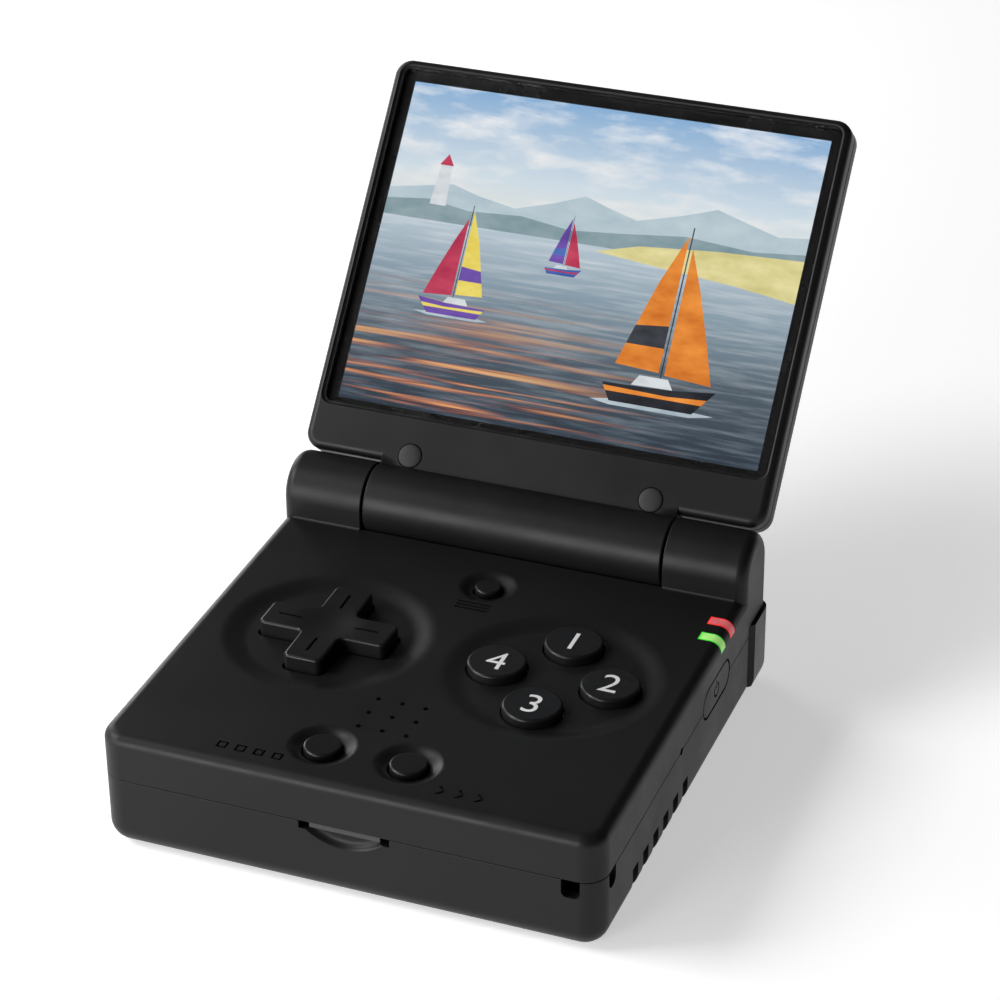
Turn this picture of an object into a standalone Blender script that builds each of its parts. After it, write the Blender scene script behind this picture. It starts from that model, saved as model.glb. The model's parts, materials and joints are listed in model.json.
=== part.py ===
"""Clamshell handheld game console, open at its viewing angle.

Frame: metres, +X to the player's right, +Y to the back, +Z up. The origin is the centre of the
base's flat underside. Lid pieces are drawn in a lid frame that sits on the hinge axis: its Z runs
up along the lid and its Y is the depth behind the hinge axis, so the lid's face has negative depth.
"""
import math

import bmesh
import bpy
from mathutils import Matrix, Vector

MM = 0.001

# Clearances and cutting
GAP = 0.3 * MM            # between pieces that touch
OVERRUN = 1.0 * MM        # how far a cutter passes the face that it opens
SHARP_ANGLE = math.radians(38)

# Base casing
BASE_WIDTH = 78.0 * MM
BASE_DEPTH = 77.75 * MM
DECK_HEIGHT = 19.55 * MM
PARTING_DROP = 7.6 * MM     # parting line below the deck
FRONT_CORNER_RADIUS = 3.7 * MM
REAR_CORNER_RADIUS = 1.8 * MM
DECK_FILLET = 1.85 * MM
FOOT_FILLET = 3.4 * MM
WALL = 1.8 * MM
FLOOR = 2.0 * MM
DECK_THICKNESS = 1.9 * MM
MIN_RADIUS = 0.3 * MM     # smallest radius of an inset corner
ROUND_END_SHARE = 0.999   # largest corner radius, as a share of half the outline's width

# Hinge
HINGE_RADIUS = 5.8 * MM
HINGE_RISE = 2.92 * MM    # axis above the deck
KNUCKLE_LENGTH = 13.6 * MM
KNUCKLE_FILLET = 1.8 * MM
KNUCKLE_GAP = 0.35 * MM   # between a knuckle and the end of the lid's barrel
TROUGH_CLEARANCE = 0.4 * MM
TROUGH_WALL = 1.3 * MM
BACK_WALL_DROP = 1.25 * MM  # back wall below the deck between the knuckles
KNUCKLE_SINK = 3.5 * MM     # knuckle's root below the deck
SHAFT_RADIUS = 2.0 * MM
SHAFT_IN_KNUCKLE = 11.0 * MM
CAM_LENGTH = 12.0 * MM
BARREL_BORE_RADIUS = 4.2 * MM

# Lid
LID_REST_TILT = math.radians(40.85)  # leaning back from upright
LID_FACE = 1.9 * MM        # face in front of the hinge axis
LID_BACK = 5.0 * MM        # back behind the hinge axis
LID_LIP = 0.95 * MM        # how far the closed lid passes the base's front
LID_HEEL = 6.12 * MM       # lid's lower edge from the hinge axis
LID_CORNER_RADIUS = 2.8 * MM
LID_EDGE_FILLET = 1.3 * MM
LID_BACK_FILLET = 1.8 * MM
LID_PARTING = 1.3 * MM     # bezel's rear face behind the hinge axis
LID_COVER_WALL = 1.6 * MM
LID_COVER_FLOOR = 1.4 * MM
LID_COVER_HEEL = 2.6 * MM  # back cover's solid lower edge
WINDOW_SIDE_RIM = 1.4 * MM
WINDOW_TOP_RIM = 1.15 * MM
WINDOW_FROM_AXIS = 13.87 * MM
WINDOW_CORNER_RADIUS = 1.6 * MM
LENS_RECESS = 1.4 * MM
LENS_THICKNESS = 0.7 * MM
LEDGE_WIDTH = 1.3 * MM
PANEL_CORNER_RADIUS = 0.5 * MM
CHIN_WEB_FROM_AXIS = 2.0 * MM
CHIN_WEB_HEIGHT = 7.0 * MM
BUMPER_RADIUS = 1.95 * MM
BUMPER_FROM_SIDE = 18.63 * MM
BUMPER_FROM_AXIS = 7.42 * MM
BUMPER_DEPTH = 1.0 * MM
BUMPER_DOME = 0.4 * MM     # how far it stands out of the chin
BUMPER_FILLET = 0.8 * MM
LID_SCREW_HEAD_RADIUS = 1.6 * MM
LID_SCREW_HEAD_HEIGHT = 0.7 * MM
LID_SCREW_RADIUS = 0.6 * MM
LID_SCREW_LENGTH = 2.4 * MM
RIBBON_WIDTH = 12.0 * MM
RIBBON_THICKNESS = 0.4 * MM
RIBBON_SLOT_MARGIN = 0.6 * MM

# Boards and what lies under the deck
BOARD_THICKNESS = 1.0 * MM
BOARD_DROP = 5.55 * MM      # board's top below the deck
BOARD_FROM_SIDE = 4.5 * MM
BOARD_FROM_FRONT = 3.0 * MM
BOARD_REAR_EDGE = 11.75 * MM  # from the back face
BOARD_TONGUE_FROM_SIDE = 22.0 * MM
BOARD_TONGUE_REAR = 2.4 * MM
FLANGE_MARGIN = 1.0 * MM    # a button's flange beyond its cap
FLANGE_THICKNESS = 1.0 * MM
DOME_SHEET = 0.6 * MM

# Face buttons
FACE_PAD_WIDTH_SHARE = 0.23333   # from the middle, of the base's width
FACE_PAD_DEPTH_SHARE = 0.47878   # from the front, of the base's depth
FACE_BUTTON_REACH = 9.0 * MM
FACE_BUTTON_RADIUS = 4.5 * MM
FACE_BUTTON_HEIGHT = 0.65 * MM
FACE_BUTTON_TRAVEL = 0.8 * MM
FACE_BUTTON_FILLET = 0.5 * MM
FACE_DISH_RADIUS = 17.0 * MM
DISH_DEPTH = 0.8 * MM
DISH_DEPTH_SHARES = (0.3, 0.75, 1.0)
DISH_RADIUS_SHARES = (0.94, 0.86, 0.78)
MEMBRANE_MARGIN = 1.6 * MM
DOME_RADIUS = 2.6 * MM
PRESS_MARGIN = 0.15 * MM    # left above a dome when its button is fully pressed

# Directional pad
DPAD_WIDTH_SHARE = 0.23077
DPAD_DEPTH_SHARE = 0.47299
DPAD_REACH = 10.4 * MM
DPAD_ARM_WIDTH = 6.2 * MM
DPAD_HEIGHT = 1.65 * MM
DPAD_FILLET = 0.6 * MM
DPAD_SLOT_GAP = 0.45 * MM
DPAD_DISH_RADIUS = 16.3 * MM
DPAD_FLANGE_DROP = 1.05 * MM  # flange's top below the deck's underside
DPAD_FLANGE_THICKNESS = 0.8 * MM
DPAD_GROOVE_WIDTH = 0.7 * MM
DPAD_GROOVE_LENGTH = 3.6 * MM
DPAD_GROOVE_FROM_CENTRE = 6.6 * MM
DPAD_GROOVE_DEPTH = 0.35 * MM
PIVOT_RADIUS = 2.2 * MM
PIVOT_HOLE_MARGIN = 0.6 * MM
DPAD_AXIS_RISE = 0.4 * MM   # tilt axes above the flange's top

# Small deck buttons
SYSTEM_BUTTON_RADIUS = 2.82 * MM
SYSTEM_BUTTON_X = 6.71 * MM
SYSTEM_BUTTON_FROM_FRONT = 8.58 * MM
SYSTEM_RECESS_RADIUS = 5.2 * MM
MENU_BUTTON_RADIUS = 2.1 * MM
MENU_BUTTON_FROM_BACK = 20.42 * MM
MENU_RECESS_RADIUS = 4.7 * MM
RECESS_DEPTH = 0.9 * MM
SYSTEM_BUTTON_HEIGHT = 0.15 * MM
SYSTEM_BUTTON_TRAVEL = 0.5 * MM
SYSTEM_BUTTON_FILLET = 0.35 * MM

# Speaker
SPEAKER_FROM_FRONT = 18.69 * MM
SPEAKER_WIDTH = 13.0 * MM
SPEAKER_DEPTH = 11.0 * MM
SPEAKER_HEIGHT = 2.7 * MM
SPEAKER_CORNER_RADIUS = 3.0 * MM
SPEAKER_FILLET = 0.7 * MM
SPEAKER_HOLE_PITCH = 3.757 * MM
SPEAKER_HOLE_RADIUS = 0.45 * MM

# Side pieces
POWER_FROM_BACK = 25.35 * MM
SIDE_KEY_RISE = 0.45 * MM   # keys' middle above the parting line
POWER_LENGTH = 12.7 * MM
POWER_HEIGHT = 4.8 * MM
SIDE_KEY_PROUD = 0.05 * MM
SIDE_KEY_TRAVEL = 0.5 * MM
SIDE_KEY_FILLET = 0.15 * MM
SIDE_FLANGE_MARGIN = 0.8 * MM
SIDE_FLANGE_THICKNESS = 0.8 * MM
VOLUME_FROM_BACK = 31.75 * MM
VOLUME_FLANGE_GAP = 0.75 * MM  # room for the rocker's flange to swing
SWITCH_DEPTH = 2.6 * MM
SWITCH_HEIGHT = 2.1 * MM
SWITCH_LENGTH = 4.2 * MM
SWITCH_PLUNGER_RADIUS = 0.7 * MM
SWITCH_PLUNGER_LENGTH = 0.5 * MM
VOLUME_SWITCH_LENGTH = 8.0 * MM
VOLUME_PLUNGER_SPREAD = 3.0 * MM
VENT_COUNT = 6
VENT_FIRST_FROM_FRONT = 14.9 * MM
VENT_PITCH = 4.55 * MM
VENT_WIDTH = 2.4 * MM
VENT_TOP = 5.5 * MM
VENT_INBOARD = 3.8 * MM     # slot's inner end from the side face
RESET_HOLE_FROM_BACK = 42.25 * MM
RESET_HOLE_RADIUS = 0.6 * MM
LIGHT_FROM_BACK = (17.8 * MM, 22.4 * MM)
LIGHT_WIDTH = 2.1 * MM
LIGHT_THICKNESS = 1.2 * MM
LIGHT_TOP_LENGTH = 1.95 * MM
LIGHT_SIDE_LENGTH = 0.1 * MM
JACK_DEPTH_SHARE = 0.309    # from the front, of the base's depth
JACK_BORE_RADIUS = 1.75 * MM
JACK_WIDTH = 6.4 * MM
JACK_LENGTH = 11.0 * MM
JACK_BORE_DEPTH = 9.5 * MM

# Shoulder buttons
SHOULDER_LENGTH = 18.0 * MM   # pocket from the side face inwards
SHOULDER_POCKET_FROM_BACK = 8.95 * MM
SHOULDER_POCKET_FLOOR = 1.6 * MM
SHOULDER_ROOF_DROP = 1.37 * MM  # pocket's top below the rear cavity's
SHOULDER_PROUD = 0.55 * MM
SHOULDER_SWING_GAP = 1.0 * MM
SHOULDER_INNER_GAP = 0.5 * MM
SHOULDER_CHAMFER = 0.8 * MM
SHOULDER_WALL = 1.4 * MM
SHOULDER_PIVOT_FROM_INNER = 2.5 * MM
SHOULDER_PIVOT_FROM_POCKET = 4.7 * MM
SHOULDER_PIN_RADIUS = 0.8 * MM
SHOULDER_PIN_SEAT = 0.4 * MM   # pin's ends into floor and roof
SHOULDER_RIB_WIDTH = 2.6 * MM
SHOULDER_RIB_FROM_SIDE = 6.0 * MM

# Front card slot
CARD_WIDTH = 11.0 * MM
CARD_LENGTH = 15.0 * MM
CARD_THICKNESS = 0.8 * MM
CARD_SLOT_WIDTH = 14.1 * MM
CARD_SLOT_HEIGHT = 1.25 * MM
CARD_INSET = 0.35 * MM
CARD_CHAMFER = 1.2 * MM
SOCKET_WALL = 0.7 * MM
SOCKET_FROM_FRONT = 4.0 * MM
SOCKET_BACK_WALL = 1.2 * MM
THUMB_RADIUS = 9.4 * MM
THUMB_DROP = 3.25 * MM
THUMB_DEPTH = 1.0 * MM
THUMB_TAPER = 1.2 * MM

# Lanyard bar in the front right corner
LANYARD_INNER_FROM_SIDE = 6.0 * MM
LANYARD_WIDTH = 2.8 * MM
LANYARD_BAR = 3.4 * MM
LANYARD_DROP = 2.95 * MM   # passage's floor below the parting line

# Charging socket in the back wall
USB_WIDTH = 8.94 * MM
USB_HEIGHT = 3.26 * MM
USB_LENGTH = 7.0 * MM
USB_SHELL = 0.35 * MM
USB_CAVITY_DEPTH = 5.8 * MM
USB_TONGUE_WIDTH = 6.2 * MM
USB_TONGUE_THICKNESS = 0.7 * MM
USB_TONGUE_LENGTH = 4.8 * MM

# Case screws and their bosses
BOSS_FROM_SIDE = 7.5 * MM
BOSS_FRONT = 12.0 * MM
BOSS_FROM_BACK = 19.75 * MM
BOSS_RADIUS = 3.1 * MM
TOP_BOSS_RADIUS = 2.6 * MM
SCREW_RADIUS = 0.9 * MM
SCREW_HEAD_RADIUS = 1.8 * MM
SCREW_HEAD_HEIGHT = 1.2 * MM
SCREW_SEAT_HEIGHT = 5.7 * MM
SCREW_END_DROP = 0.95 * MM   # screw's end below the deck's underside
DRIVE_RADIUS = 0.7 * MM
DRIVE_DEPTH = 0.5 * MM

# Battery and its cover
COVER_FROM_SIDE = 15.0 * MM
COVER_FRONT = 22.0 * MM
COVER_FROM_BACK = 15.75 * MM
COVER_THICKNESS = 1.7 * MM
COVER_CORNER_RADIUS = 2.0 * MM
COVER_TAB_WIDTH = 6.0 * MM
COVER_TAB_SPREAD = 14.0 * MM
COVER_TAB_REACH = 2.0 * MM
LEDGE_THICKNESS = 1.2 * MM
LEDGE_OVERHANG = 2.0 * MM
LEDGE_FRONT_WIDTH = 5.6 * MM
COVER_SCREW_FROM_EDGE = 2.9 * MM
COVER_SCREW_HEAD_RADIUS = 1.7 * MM
COVER_SCREW_HEAD_HEIGHT = 0.9 * MM
COVER_SCREW_RADIUS = 0.8 * MM
COVER_SCREW_LENGTH = 4.0 * MM
COVER_BOSS_RADIUS = 2.4 * MM
COVER_BOSS_HEIGHT = 3.2 * MM
BATTERY_HEADROOM = 2.7 * MM  # below the processor's shield
BATTERY_CORNER_RADIUS = 1.5 * MM
SHIELD_WIDTH = 20.0 * MM
SHIELD_FRONT = 32.0 * MM
SHIELD_HEIGHT = 1.6 * MM
SHIELD_CORNER_RADIUS = 0.8 * MM

# How finely round forms are cut
CORNER_STEPS = 4
FILLET_STEPS = 3
ROUND_STEPS = 24
SMALL_ROUND_STEPS = 10
DISH_STEPS = 32
HINGE_STEPS = 32

# Planes and points that several pieces share
SIDE = BASE_WIDTH / 2
FRONT = -BASE_DEPTH / 2
BACK = BASE_DEPTH / 2
CEILING = DECK_HEIGHT - DECK_THICKNESS
PARTING_HEIGHT = DECK_HEIGHT - PARTING_DROP
TOP_CASE_LOW = PARTING_HEIGHT + GAP / 2
BOTTOM_CASE_HIGH = PARTING_HEIGHT - GAP / 2
AXIS_Y = BACK - HINGE_RADIUS
AXIS_Z = DECK_HEIGHT + HINGE_RISE
KNUCKLE_INNER = SIDE - KNUCKLE_LENGTH
BARREL_HALF = KNUCKLE_INNER - KNUCKLE_GAP
TROUGH_RADIUS = HINGE_RADIUS + TROUGH_CLEARANCE
BOARD_TOP = DECK_HEIGHT - BOARD_DROP
BOARD_LOW = BOARD_TOP - BOARD_THICKNESS
UNDER_BOARD = BOARD_LOW - GAP
SHEET_LOW = BOARD_TOP + GAP
SHEET_TOP = SHEET_LOW + DOME_SHEET
FLANGE_TOP = CEILING - GAP
FLANGE_LOW = FLANGE_TOP - FLANGE_THICKNESS
FACE_DOME_TOP = FLANGE_LOW - FACE_BUTTON_TRAVEL - PRESS_MARGIN
SYSTEM_DOME_TOP = FLANGE_LOW - SYSTEM_BUTTON_TRAVEL - PRESS_MARGIN
LID_TOP = AXIS_Y - FRONT + LID_LIP
WINDOW_HALF = SIDE - WINDOW_SIDE_RIM
WINDOW_TOP = LID_TOP - WINDOW_TOP_RIM
LEDGE_HALF = WINDOW_HALF - LEDGE_WIDTH
LEDGE_BOTTOM = WINDOW_FROM_AXIS + LEDGE_WIDTH
LEDGE_TOP = WINDOW_TOP - LEDGE_WIDTH
LENS_FRONT = LENS_RECESS - LID_FACE      # depth in the lid frame
LENS_BACK = LENS_FRONT + LENS_THICKNESS
PANEL_FRONT = LENS_BACK + GAP
COVER_INSIDE = LID_BACK - LID_COVER_FLOOR
PANEL_BACK = COVER_INSIDE - GAP
HINGE_POINT = Vector((0, AXIS_Y, AXIS_Z))
BUMPER_FROM_CENTRE = SIDE - BUMPER_FROM_SIDE

for old_object in list(bpy.data.objects):
    bpy.data.objects.remove(old_object, do_unlink=True)


def material(name, colour, roughness, metallic=0.0):
    """A plain Principled material."""
    made = bpy.data.materials.new(name)
    made.use_nodes = True
    shader = made.node_tree.nodes["Principled BSDF"]
    shader.inputs["Base Color"].default_value = (*colour, 1)
    shader.inputs["Roughness"].default_value = roughness
    shader.inputs["Metallic"].default_value = metallic
    return made


CASE_PLASTIC = material("case_plastic", (0.032, 0.032, 0.033), 0.5)
BUTTON_PLASTIC = material("button_plastic", (0.02, 0.02, 0.021), 0.35)
RUBBER = material("soft_rubber", (0.05, 0.05, 0.052), 0.7)
MEMBRANE_RUBBER = material("membrane_rubber", (0.42, 0.42, 0.40), 0.6)
LENS_GLASS = material("lens_glass", (0.01, 0.01, 0.012), 0.08)
DISPLAY_GLASS = material("display_glass", (0.05, 0.09, 0.14), 0.15)
BOARD_LAMINATE = material("board_laminate", (0.02, 0.13, 0.06), 0.4)
STEEL = material("steel", (0.45, 0.45, 0.46), 0.3, 1.0)
DARK_STEEL = material("dark_steel", (0.05, 0.05, 0.05), 0.4, 1.0)
CELL_WRAP = material("cell_wrap", (0.10, 0.16, 0.30), 0.4)
INNER_PLASTIC = material("inner_plastic", (0.06, 0.06, 0.06), 0.5)
RED_PIPE = material("red_light_plastic", (0.58, 0.11, 0.12), 0.3)
GREEN_PIPE = material("green_light_plastic", (0.33, 0.64, 0.17), 0.3)


def rounded_rect(left, right, low, high, radii, inset=0.0, steps=CORNER_STEPS):
    """Outline of a rectangle, drawn in by inset. radii: the low corners' and the high corners'."""
    left, right = left + inset, right - inset
    low, high = low + inset, high - inset
    limit = min(right - left, high - low) / 2 * ROUND_END_SHARE
    low_radius = min(max(radii[0] - inset, MIN_RADIUS), limit)
    high_radius = min(max(radii[1] - inset, MIN_RADIUS), limit)
    corners = (
        (right - low_radius, low + low_radius, low_radius),
        (right - high_radius, high - high_radius, high_radius),
        (left + high_radius, high - high_radius, high_radius),
        (left + low_radius, low + low_radius, low_radius),
    )
    points = []
    for quarter, (centre_a, centre_b, radius) in enumerate(corners):
        for step in range(steps + 1):
            angle = math.pi / 2 * (quarter - 1 + step / steps)
            points.append((centre_a + radius * math.cos(angle), centre_b + radius * math.sin(angle)))
    return points


def rect(left, right, low, high):
    """Outline of a plain rectangle."""
    return [(left, low), (right, low), (right, high), (left, high)]


def circle(centre_a, centre_b, radius, steps=ROUND_STEPS):
    """Outline of a circle."""
    turns = [2 * math.pi * step / steps for step in range(steps)]
    return [(centre_a + radius * math.cos(t), centre_b + radius * math.sin(t)) for t in turns]


def cross(centre_x, centre_y, reach, width):
    """Outline of a plus with four equal arms."""
    half = width / 2
    arm = [(reach, -half), (reach, half), (half, half)]
    points = []
    for turn in range(4):
        angle = turn * math.pi / 2
        cos, sin = round(math.cos(angle)), round(math.sin(angle))
        points += [(centre_x + a * cos - b * sin, centre_y + a * sin + b * cos) for a, b in arm]
    return points


def tombstone(inset=0.0):
    """Knuckle profile in Y and Z: flat front and back walls under a half round."""
    radius = HINGE_RADIUS - inset
    root = DECK_HEIGHT - KNUCKLE_SINK
    points = [(AXIS_Y - radius, root), (AXIS_Y + radius, root)]
    half_steps = HINGE_STEPS // 2
    for step in range(half_steps + 1):
        angle = math.pi * step / half_steps
        points.append((AXIS_Y + radius * math.cos(angle), AXIS_Z + radius * math.sin(angle)))
    return points


def fillet_levels(low, high, low_fillet=0.0, high_fillet=0.0, steps=FILLET_STEPS):
    """Levels of a body with rounded ends, each as (height, inset)."""
    levels = []
    for step in range(steps if low_fillet else 0):
        angle = math.pi / 2 * step / steps
        levels.append((low + low_fillet * (1 - math.sin(angle)), low_fillet * (1 - math.cos(angle))))
    levels = sorted(levels)
    levels = levels + [(low + low_fillet, 0.0)] if low_fillet else [(low, 0.0)]
    if not high_fillet:
        return levels + [(high, 0.0)]
    for step in range(steps + 1):
        angle = math.pi / 2 * step / steps
        levels.append((high - high_fillet * (1 - math.sin(angle)), high_fillet * (1 - math.cos(angle))))
    return levels


def spread(levels, outline):
    """Levels as (height, outline), from levels of (height, inset) and an outline function."""
    return [(height, outline(inset)) for height, inset in levels]


def straight(outline, low, high):
    """Levels of a plain prism."""
    return [(low, outline), (high, outline)]


def solid(name, levels, look=None, along="Z", frame=None):
    """Closed body through a stack of outlines of equal point counts, capped at both ends.

    An outline's coordinates are (X, Y) along Z, (Y, Z) along X, and (X, Z) along Y.
    """
    mesh = bmesh.new()
    rings = []
    for height, outline in levels:
        ring = []
        for a, b in outline:
            place = {"Z": (a, b, height), "X": (height, a, b), "Y": (a, height, b)}[along]
            ring.append(mesh.verts.new(place))
        rings.append(ring)
    for lower, upper in zip(rings, rings[1:]):
        for index in range(len(lower)):
            following = (index + 1) % len(lower)
            mesh.faces.new((lower[index], lower[following], upper[following], upper[index]))
    mesh.faces.new(reversed(rings[0]))
    mesh.faces.new(rings[-1])
    bmesh.ops.recalc_face_normals(mesh, faces=mesh.faces)
    data = bpy.data.meshes.new(name)
    mesh.to_mesh(data)
    mesh.free()
    data.shade_smooth()
    data.set_sharp_from_angle(angle=SHARP_ANGLE)
    made = bpy.data.objects.new(name, data)
    bpy.context.scene.collection.objects.link(made)
    if look:
        data.materials.append(look)
    if frame:
        made.parent = frame
    return made


def combine(target, tool, operation):
    """Add an exact Boolean of the tool to the target and keep the tool as a guide."""
    tool.hide_render = True
    tool.display_type = "WIRE"
    step = target.modifiers.new(tool.name, "BOOLEAN")
    step.operation = operation
    step.solver = "EXACT"
    step.object = tool


def cut(target, levels, along="Z", frame=None, name="cut"):
    """Take a stack of outlines out of the target."""
    combine(target, solid(target.name + "_" + name, levels, None, along, frame), "DIFFERENCE")


def add(target, levels, along="Z", frame=None, name="add"):
    """Join a stack of outlines to the target."""
    combine(target, solid(target.name + "_" + name, levels, None, along, frame), "UNION")


def set_origin(piece, point):
    """Move a piece's origin to a point without moving its mesh."""
    piece.data.transform(Matrix.Translation(-point))
    piece.location = point


def case_outline(inset=0.0):
    """The base's outline seen from above."""
    radii = (FRONT_CORNER_RADIUS, REAR_CORNER_RADIUS)
    return rounded_rect(-SIDE, SIDE, FRONT, BACK, radii, inset)


def stadium(centre_a, centre_b, length, height, inset=0.0, steps=CORNER_STEPS):
    """Outline of a bar with round ends."""
    half_length, half_height = length / 2, height / 2
    return rounded_rect(centre_a - half_length, centre_a + half_length, centre_b - half_height,
                        centre_b + half_height, (half_height, half_height), inset, steps)


# Places of the deck's pieces
FACE_PAD_X = BASE_WIDTH * FACE_PAD_WIDTH_SHARE
FACE_PAD_Y = FRONT + BASE_DEPTH * FACE_PAD_DEPTH_SHARE
DPAD_X = -BASE_WIDTH * DPAD_WIDTH_SHARE
DPAD_Y = FRONT + BASE_DEPTH * DPAD_DEPTH_SHARE
SYSTEM_BUTTON_Y = FRONT + SYSTEM_BUTTON_FROM_FRONT
POWER_Y = BACK - POWER_FROM_BACK
VOLUME_Y = BACK - VOLUME_FROM_BACK
SIDE_KEY_Z = PARTING_HEIGHT + SIDE_KEY_RISE
JACK_Y = FRONT + BASE_DEPTH * JACK_DEPTH_SHARE
JACK_Z = (FLOOR + GAP + UNDER_BOARD) / 2
FACE_BUTTONS = {
    "face_button_top": (FACE_PAD_X, FACE_PAD_Y + FACE_BUTTON_REACH),
    "face_button_right": (FACE_PAD_X + FACE_BUTTON_REACH, FACE_PAD_Y),
    "face_button_bottom": (FACE_PAD_X, FACE_PAD_Y - FACE_BUTTON_REACH),
    "face_button_left": (FACE_PAD_X - FACE_BUTTON_REACH, FACE_PAD_Y),
}
SYSTEM_BUTTONS = {
    "menu_button": (0.0, BACK - MENU_BUTTON_FROM_BACK, MENU_BUTTON_RADIUS, MENU_RECESS_RADIUS),
    "select_button": (-SYSTEM_BUTTON_X, SYSTEM_BUTTON_Y, SYSTEM_BUTTON_RADIUS, SYSTEM_RECESS_RADIUS),
    "start_button": (SYSTEM_BUTTON_X, SYSTEM_BUTTON_Y, SYSTEM_BUTTON_RADIUS, SYSTEM_RECESS_RADIUS),
}
BOSSES = [(side * (SIDE - BOSS_FROM_SIDE), y)
          for y in (FRONT + BOSS_FRONT, BACK - BOSS_FROM_BACK) for side in (-1, 1)]
SCREW_LENGTH = CEILING - SCREW_END_DROP - SCREW_SEAT_HEIGHT
SHOULDER_POCKET_FRONT = BACK - SHOULDER_POCKET_FROM_BACK
SHOULDER_PIVOT_X = SIDE - SHOULDER_LENGTH + SHOULDER_PIVOT_FROM_INNER
SHOULDER_PIVOT_Y = SHOULDER_POCKET_FRONT + SHOULDER_PIVOT_FROM_POCKET
SHOULDER_PIN_LOW = SHOULDER_POCKET_FLOOR - SHOULDER_PIN_SEAT
REAR_CAVITY_TOP = AXIS_Z - TROUGH_RADIUS - TROUGH_WALL
SHOULDER_POCKET_TOP = REAR_CAVITY_TOP - SHOULDER_ROOF_DROP
SHOULDER_PIN_HIGH = REAR_CAVITY_TOP + SHOULDER_PIN_SEAT + GAP
USB_CENTRE_Z = UNDER_BOARD - USB_HEIGHT / 2
SLOT_FLOOR = PARTING_HEIGHT - CARD_SLOT_HEIGHT
CARD_LOW = TOP_CASE_LOW - GAP - CARD_THICKNESS
COVER_LOW_Y = FRONT + COVER_FRONT
COVER_HIGH_Y = BACK - COVER_FROM_BACK
COVER_HALF = SIDE - COVER_FROM_SIDE
COVER_SCREW_Y = COVER_LOW_Y + COVER_SCREW_FROM_EDGE
LANYARD_X = SIDE - LANYARD_INNER_FROM_SIDE
LANYARD_FLOOR = PARTING_HEIGHT - LANYARD_DROP


def span(centre, width):
    """Low and high end of a width about its centre."""
    return centre - width / 2, centre + width / 2


def mirrored(side, near, far):
    """Low and high X of a stretch given by its distances from the middle, on one side."""
    return (near, far) if side > 0 else (-far, -near)


def light_outline(grow=0.0, reach_out=0.0):
    """Light pipe's profile in X and Z, wrapped over the deck's edge fillet."""
    centre_x, centre_z = SIDE - DECK_FILLET, DECK_HEIGHT - DECK_FILLET
    outer = DECK_FILLET + reach_out
    inner = DECK_FILLET - LIGHT_THICKNESS - grow
    top_end = centre_x - LIGHT_TOP_LENGTH - grow
    side_end = centre_z - LIGHT_SIDE_LENGTH - grow
    turns = [math.pi / 2 * step / (2 * FILLET_STEPS) for step in range(2 * FILLET_STEPS + 1)]
    points = [(centre_x + outer, side_end)]
    points += [(centre_x + outer * math.cos(t), centre_z + outer * math.sin(t)) for t in turns]
    points += [(top_end, centre_z + outer), (top_end, centre_z + inner)]
    points += [(centre_x + inner * math.cos(t), centre_z + inner * math.sin(t)) for t in reversed(turns)]
    return points + [(centre_x + inner, side_end)]


def dish_levels(centre_x, centre_y, radius):
    """Shallow round dish in the deck, deepest over its flat middle."""
    levels = [(DECK_HEIGHT + OVERRUN, circle(centre_x, centre_y, radius, DISH_STEPS)),
              (DECK_HEIGHT, circle(centre_x, centre_y, radius, DISH_STEPS))]
    for depth_share, radius_share in zip(DISH_DEPTH_SHARES, DISH_RADIUS_SHARES):
        ring = circle(centre_x, centre_y, radius * radius_share, DISH_STEPS)
        levels.append((DECK_HEIGHT - DISH_DEPTH * depth_share, ring))
    return levels[::-1]


def shoulder_pocket(target, side):
    """Open the rear corner for a shoulder button."""
    left, right = mirrored(side, SIDE - SHOULDER_LENGTH, SIDE + OVERRUN)
    outline = rect(left, right, SHOULDER_POCKET_FRONT, BACK + OVERRUN)
    cut(target, straight(outline, SHOULDER_POCKET_FLOOR, SHOULDER_POCKET_TOP), name="shoulder_pocket")


def side_openings(target):
    """Openings that the parting line crosses, cut in both casings."""
    power = stadium(POWER_Y, SIDE_KEY_Z, POWER_LENGTH + 2 * GAP, POWER_HEIGHT + 2 * GAP)
    cut(target, straight(power, SIDE - WALL - OVERRUN, SIDE + OVERRUN), "X", name="power_opening")
    volume = stadium(VOLUME_Y, SIDE_KEY_Z, POWER_LENGTH + 2 * GAP, POWER_HEIGHT + 2 * GAP)
    cut(target, straight(volume, -SIDE - OVERRUN, -SIDE + WALL + OVERRUN), "X", name="volume_opening")
    reset = circle(BACK - RESET_HOLE_FROM_BACK, PARTING_HEIGHT, RESET_HOLE_RADIUS, SMALL_ROUND_STEPS)
    cut(target, straight(reset, SIDE - WALL - OVERRUN, SIDE + OVERRUN), "X", name="reset_hole")
    socket = stadium(0, USB_CENTRE_Z, USB_WIDTH + 2 * GAP, USB_HEIGHT + 2 * GAP)
    cut(target, straight(socket, BACK - WALL - OVERRUN, BACK + OVERRUN), "Y", name="usb_opening")
    for side in (-1, 1):
        shoulder_pocket(target, side)


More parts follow.
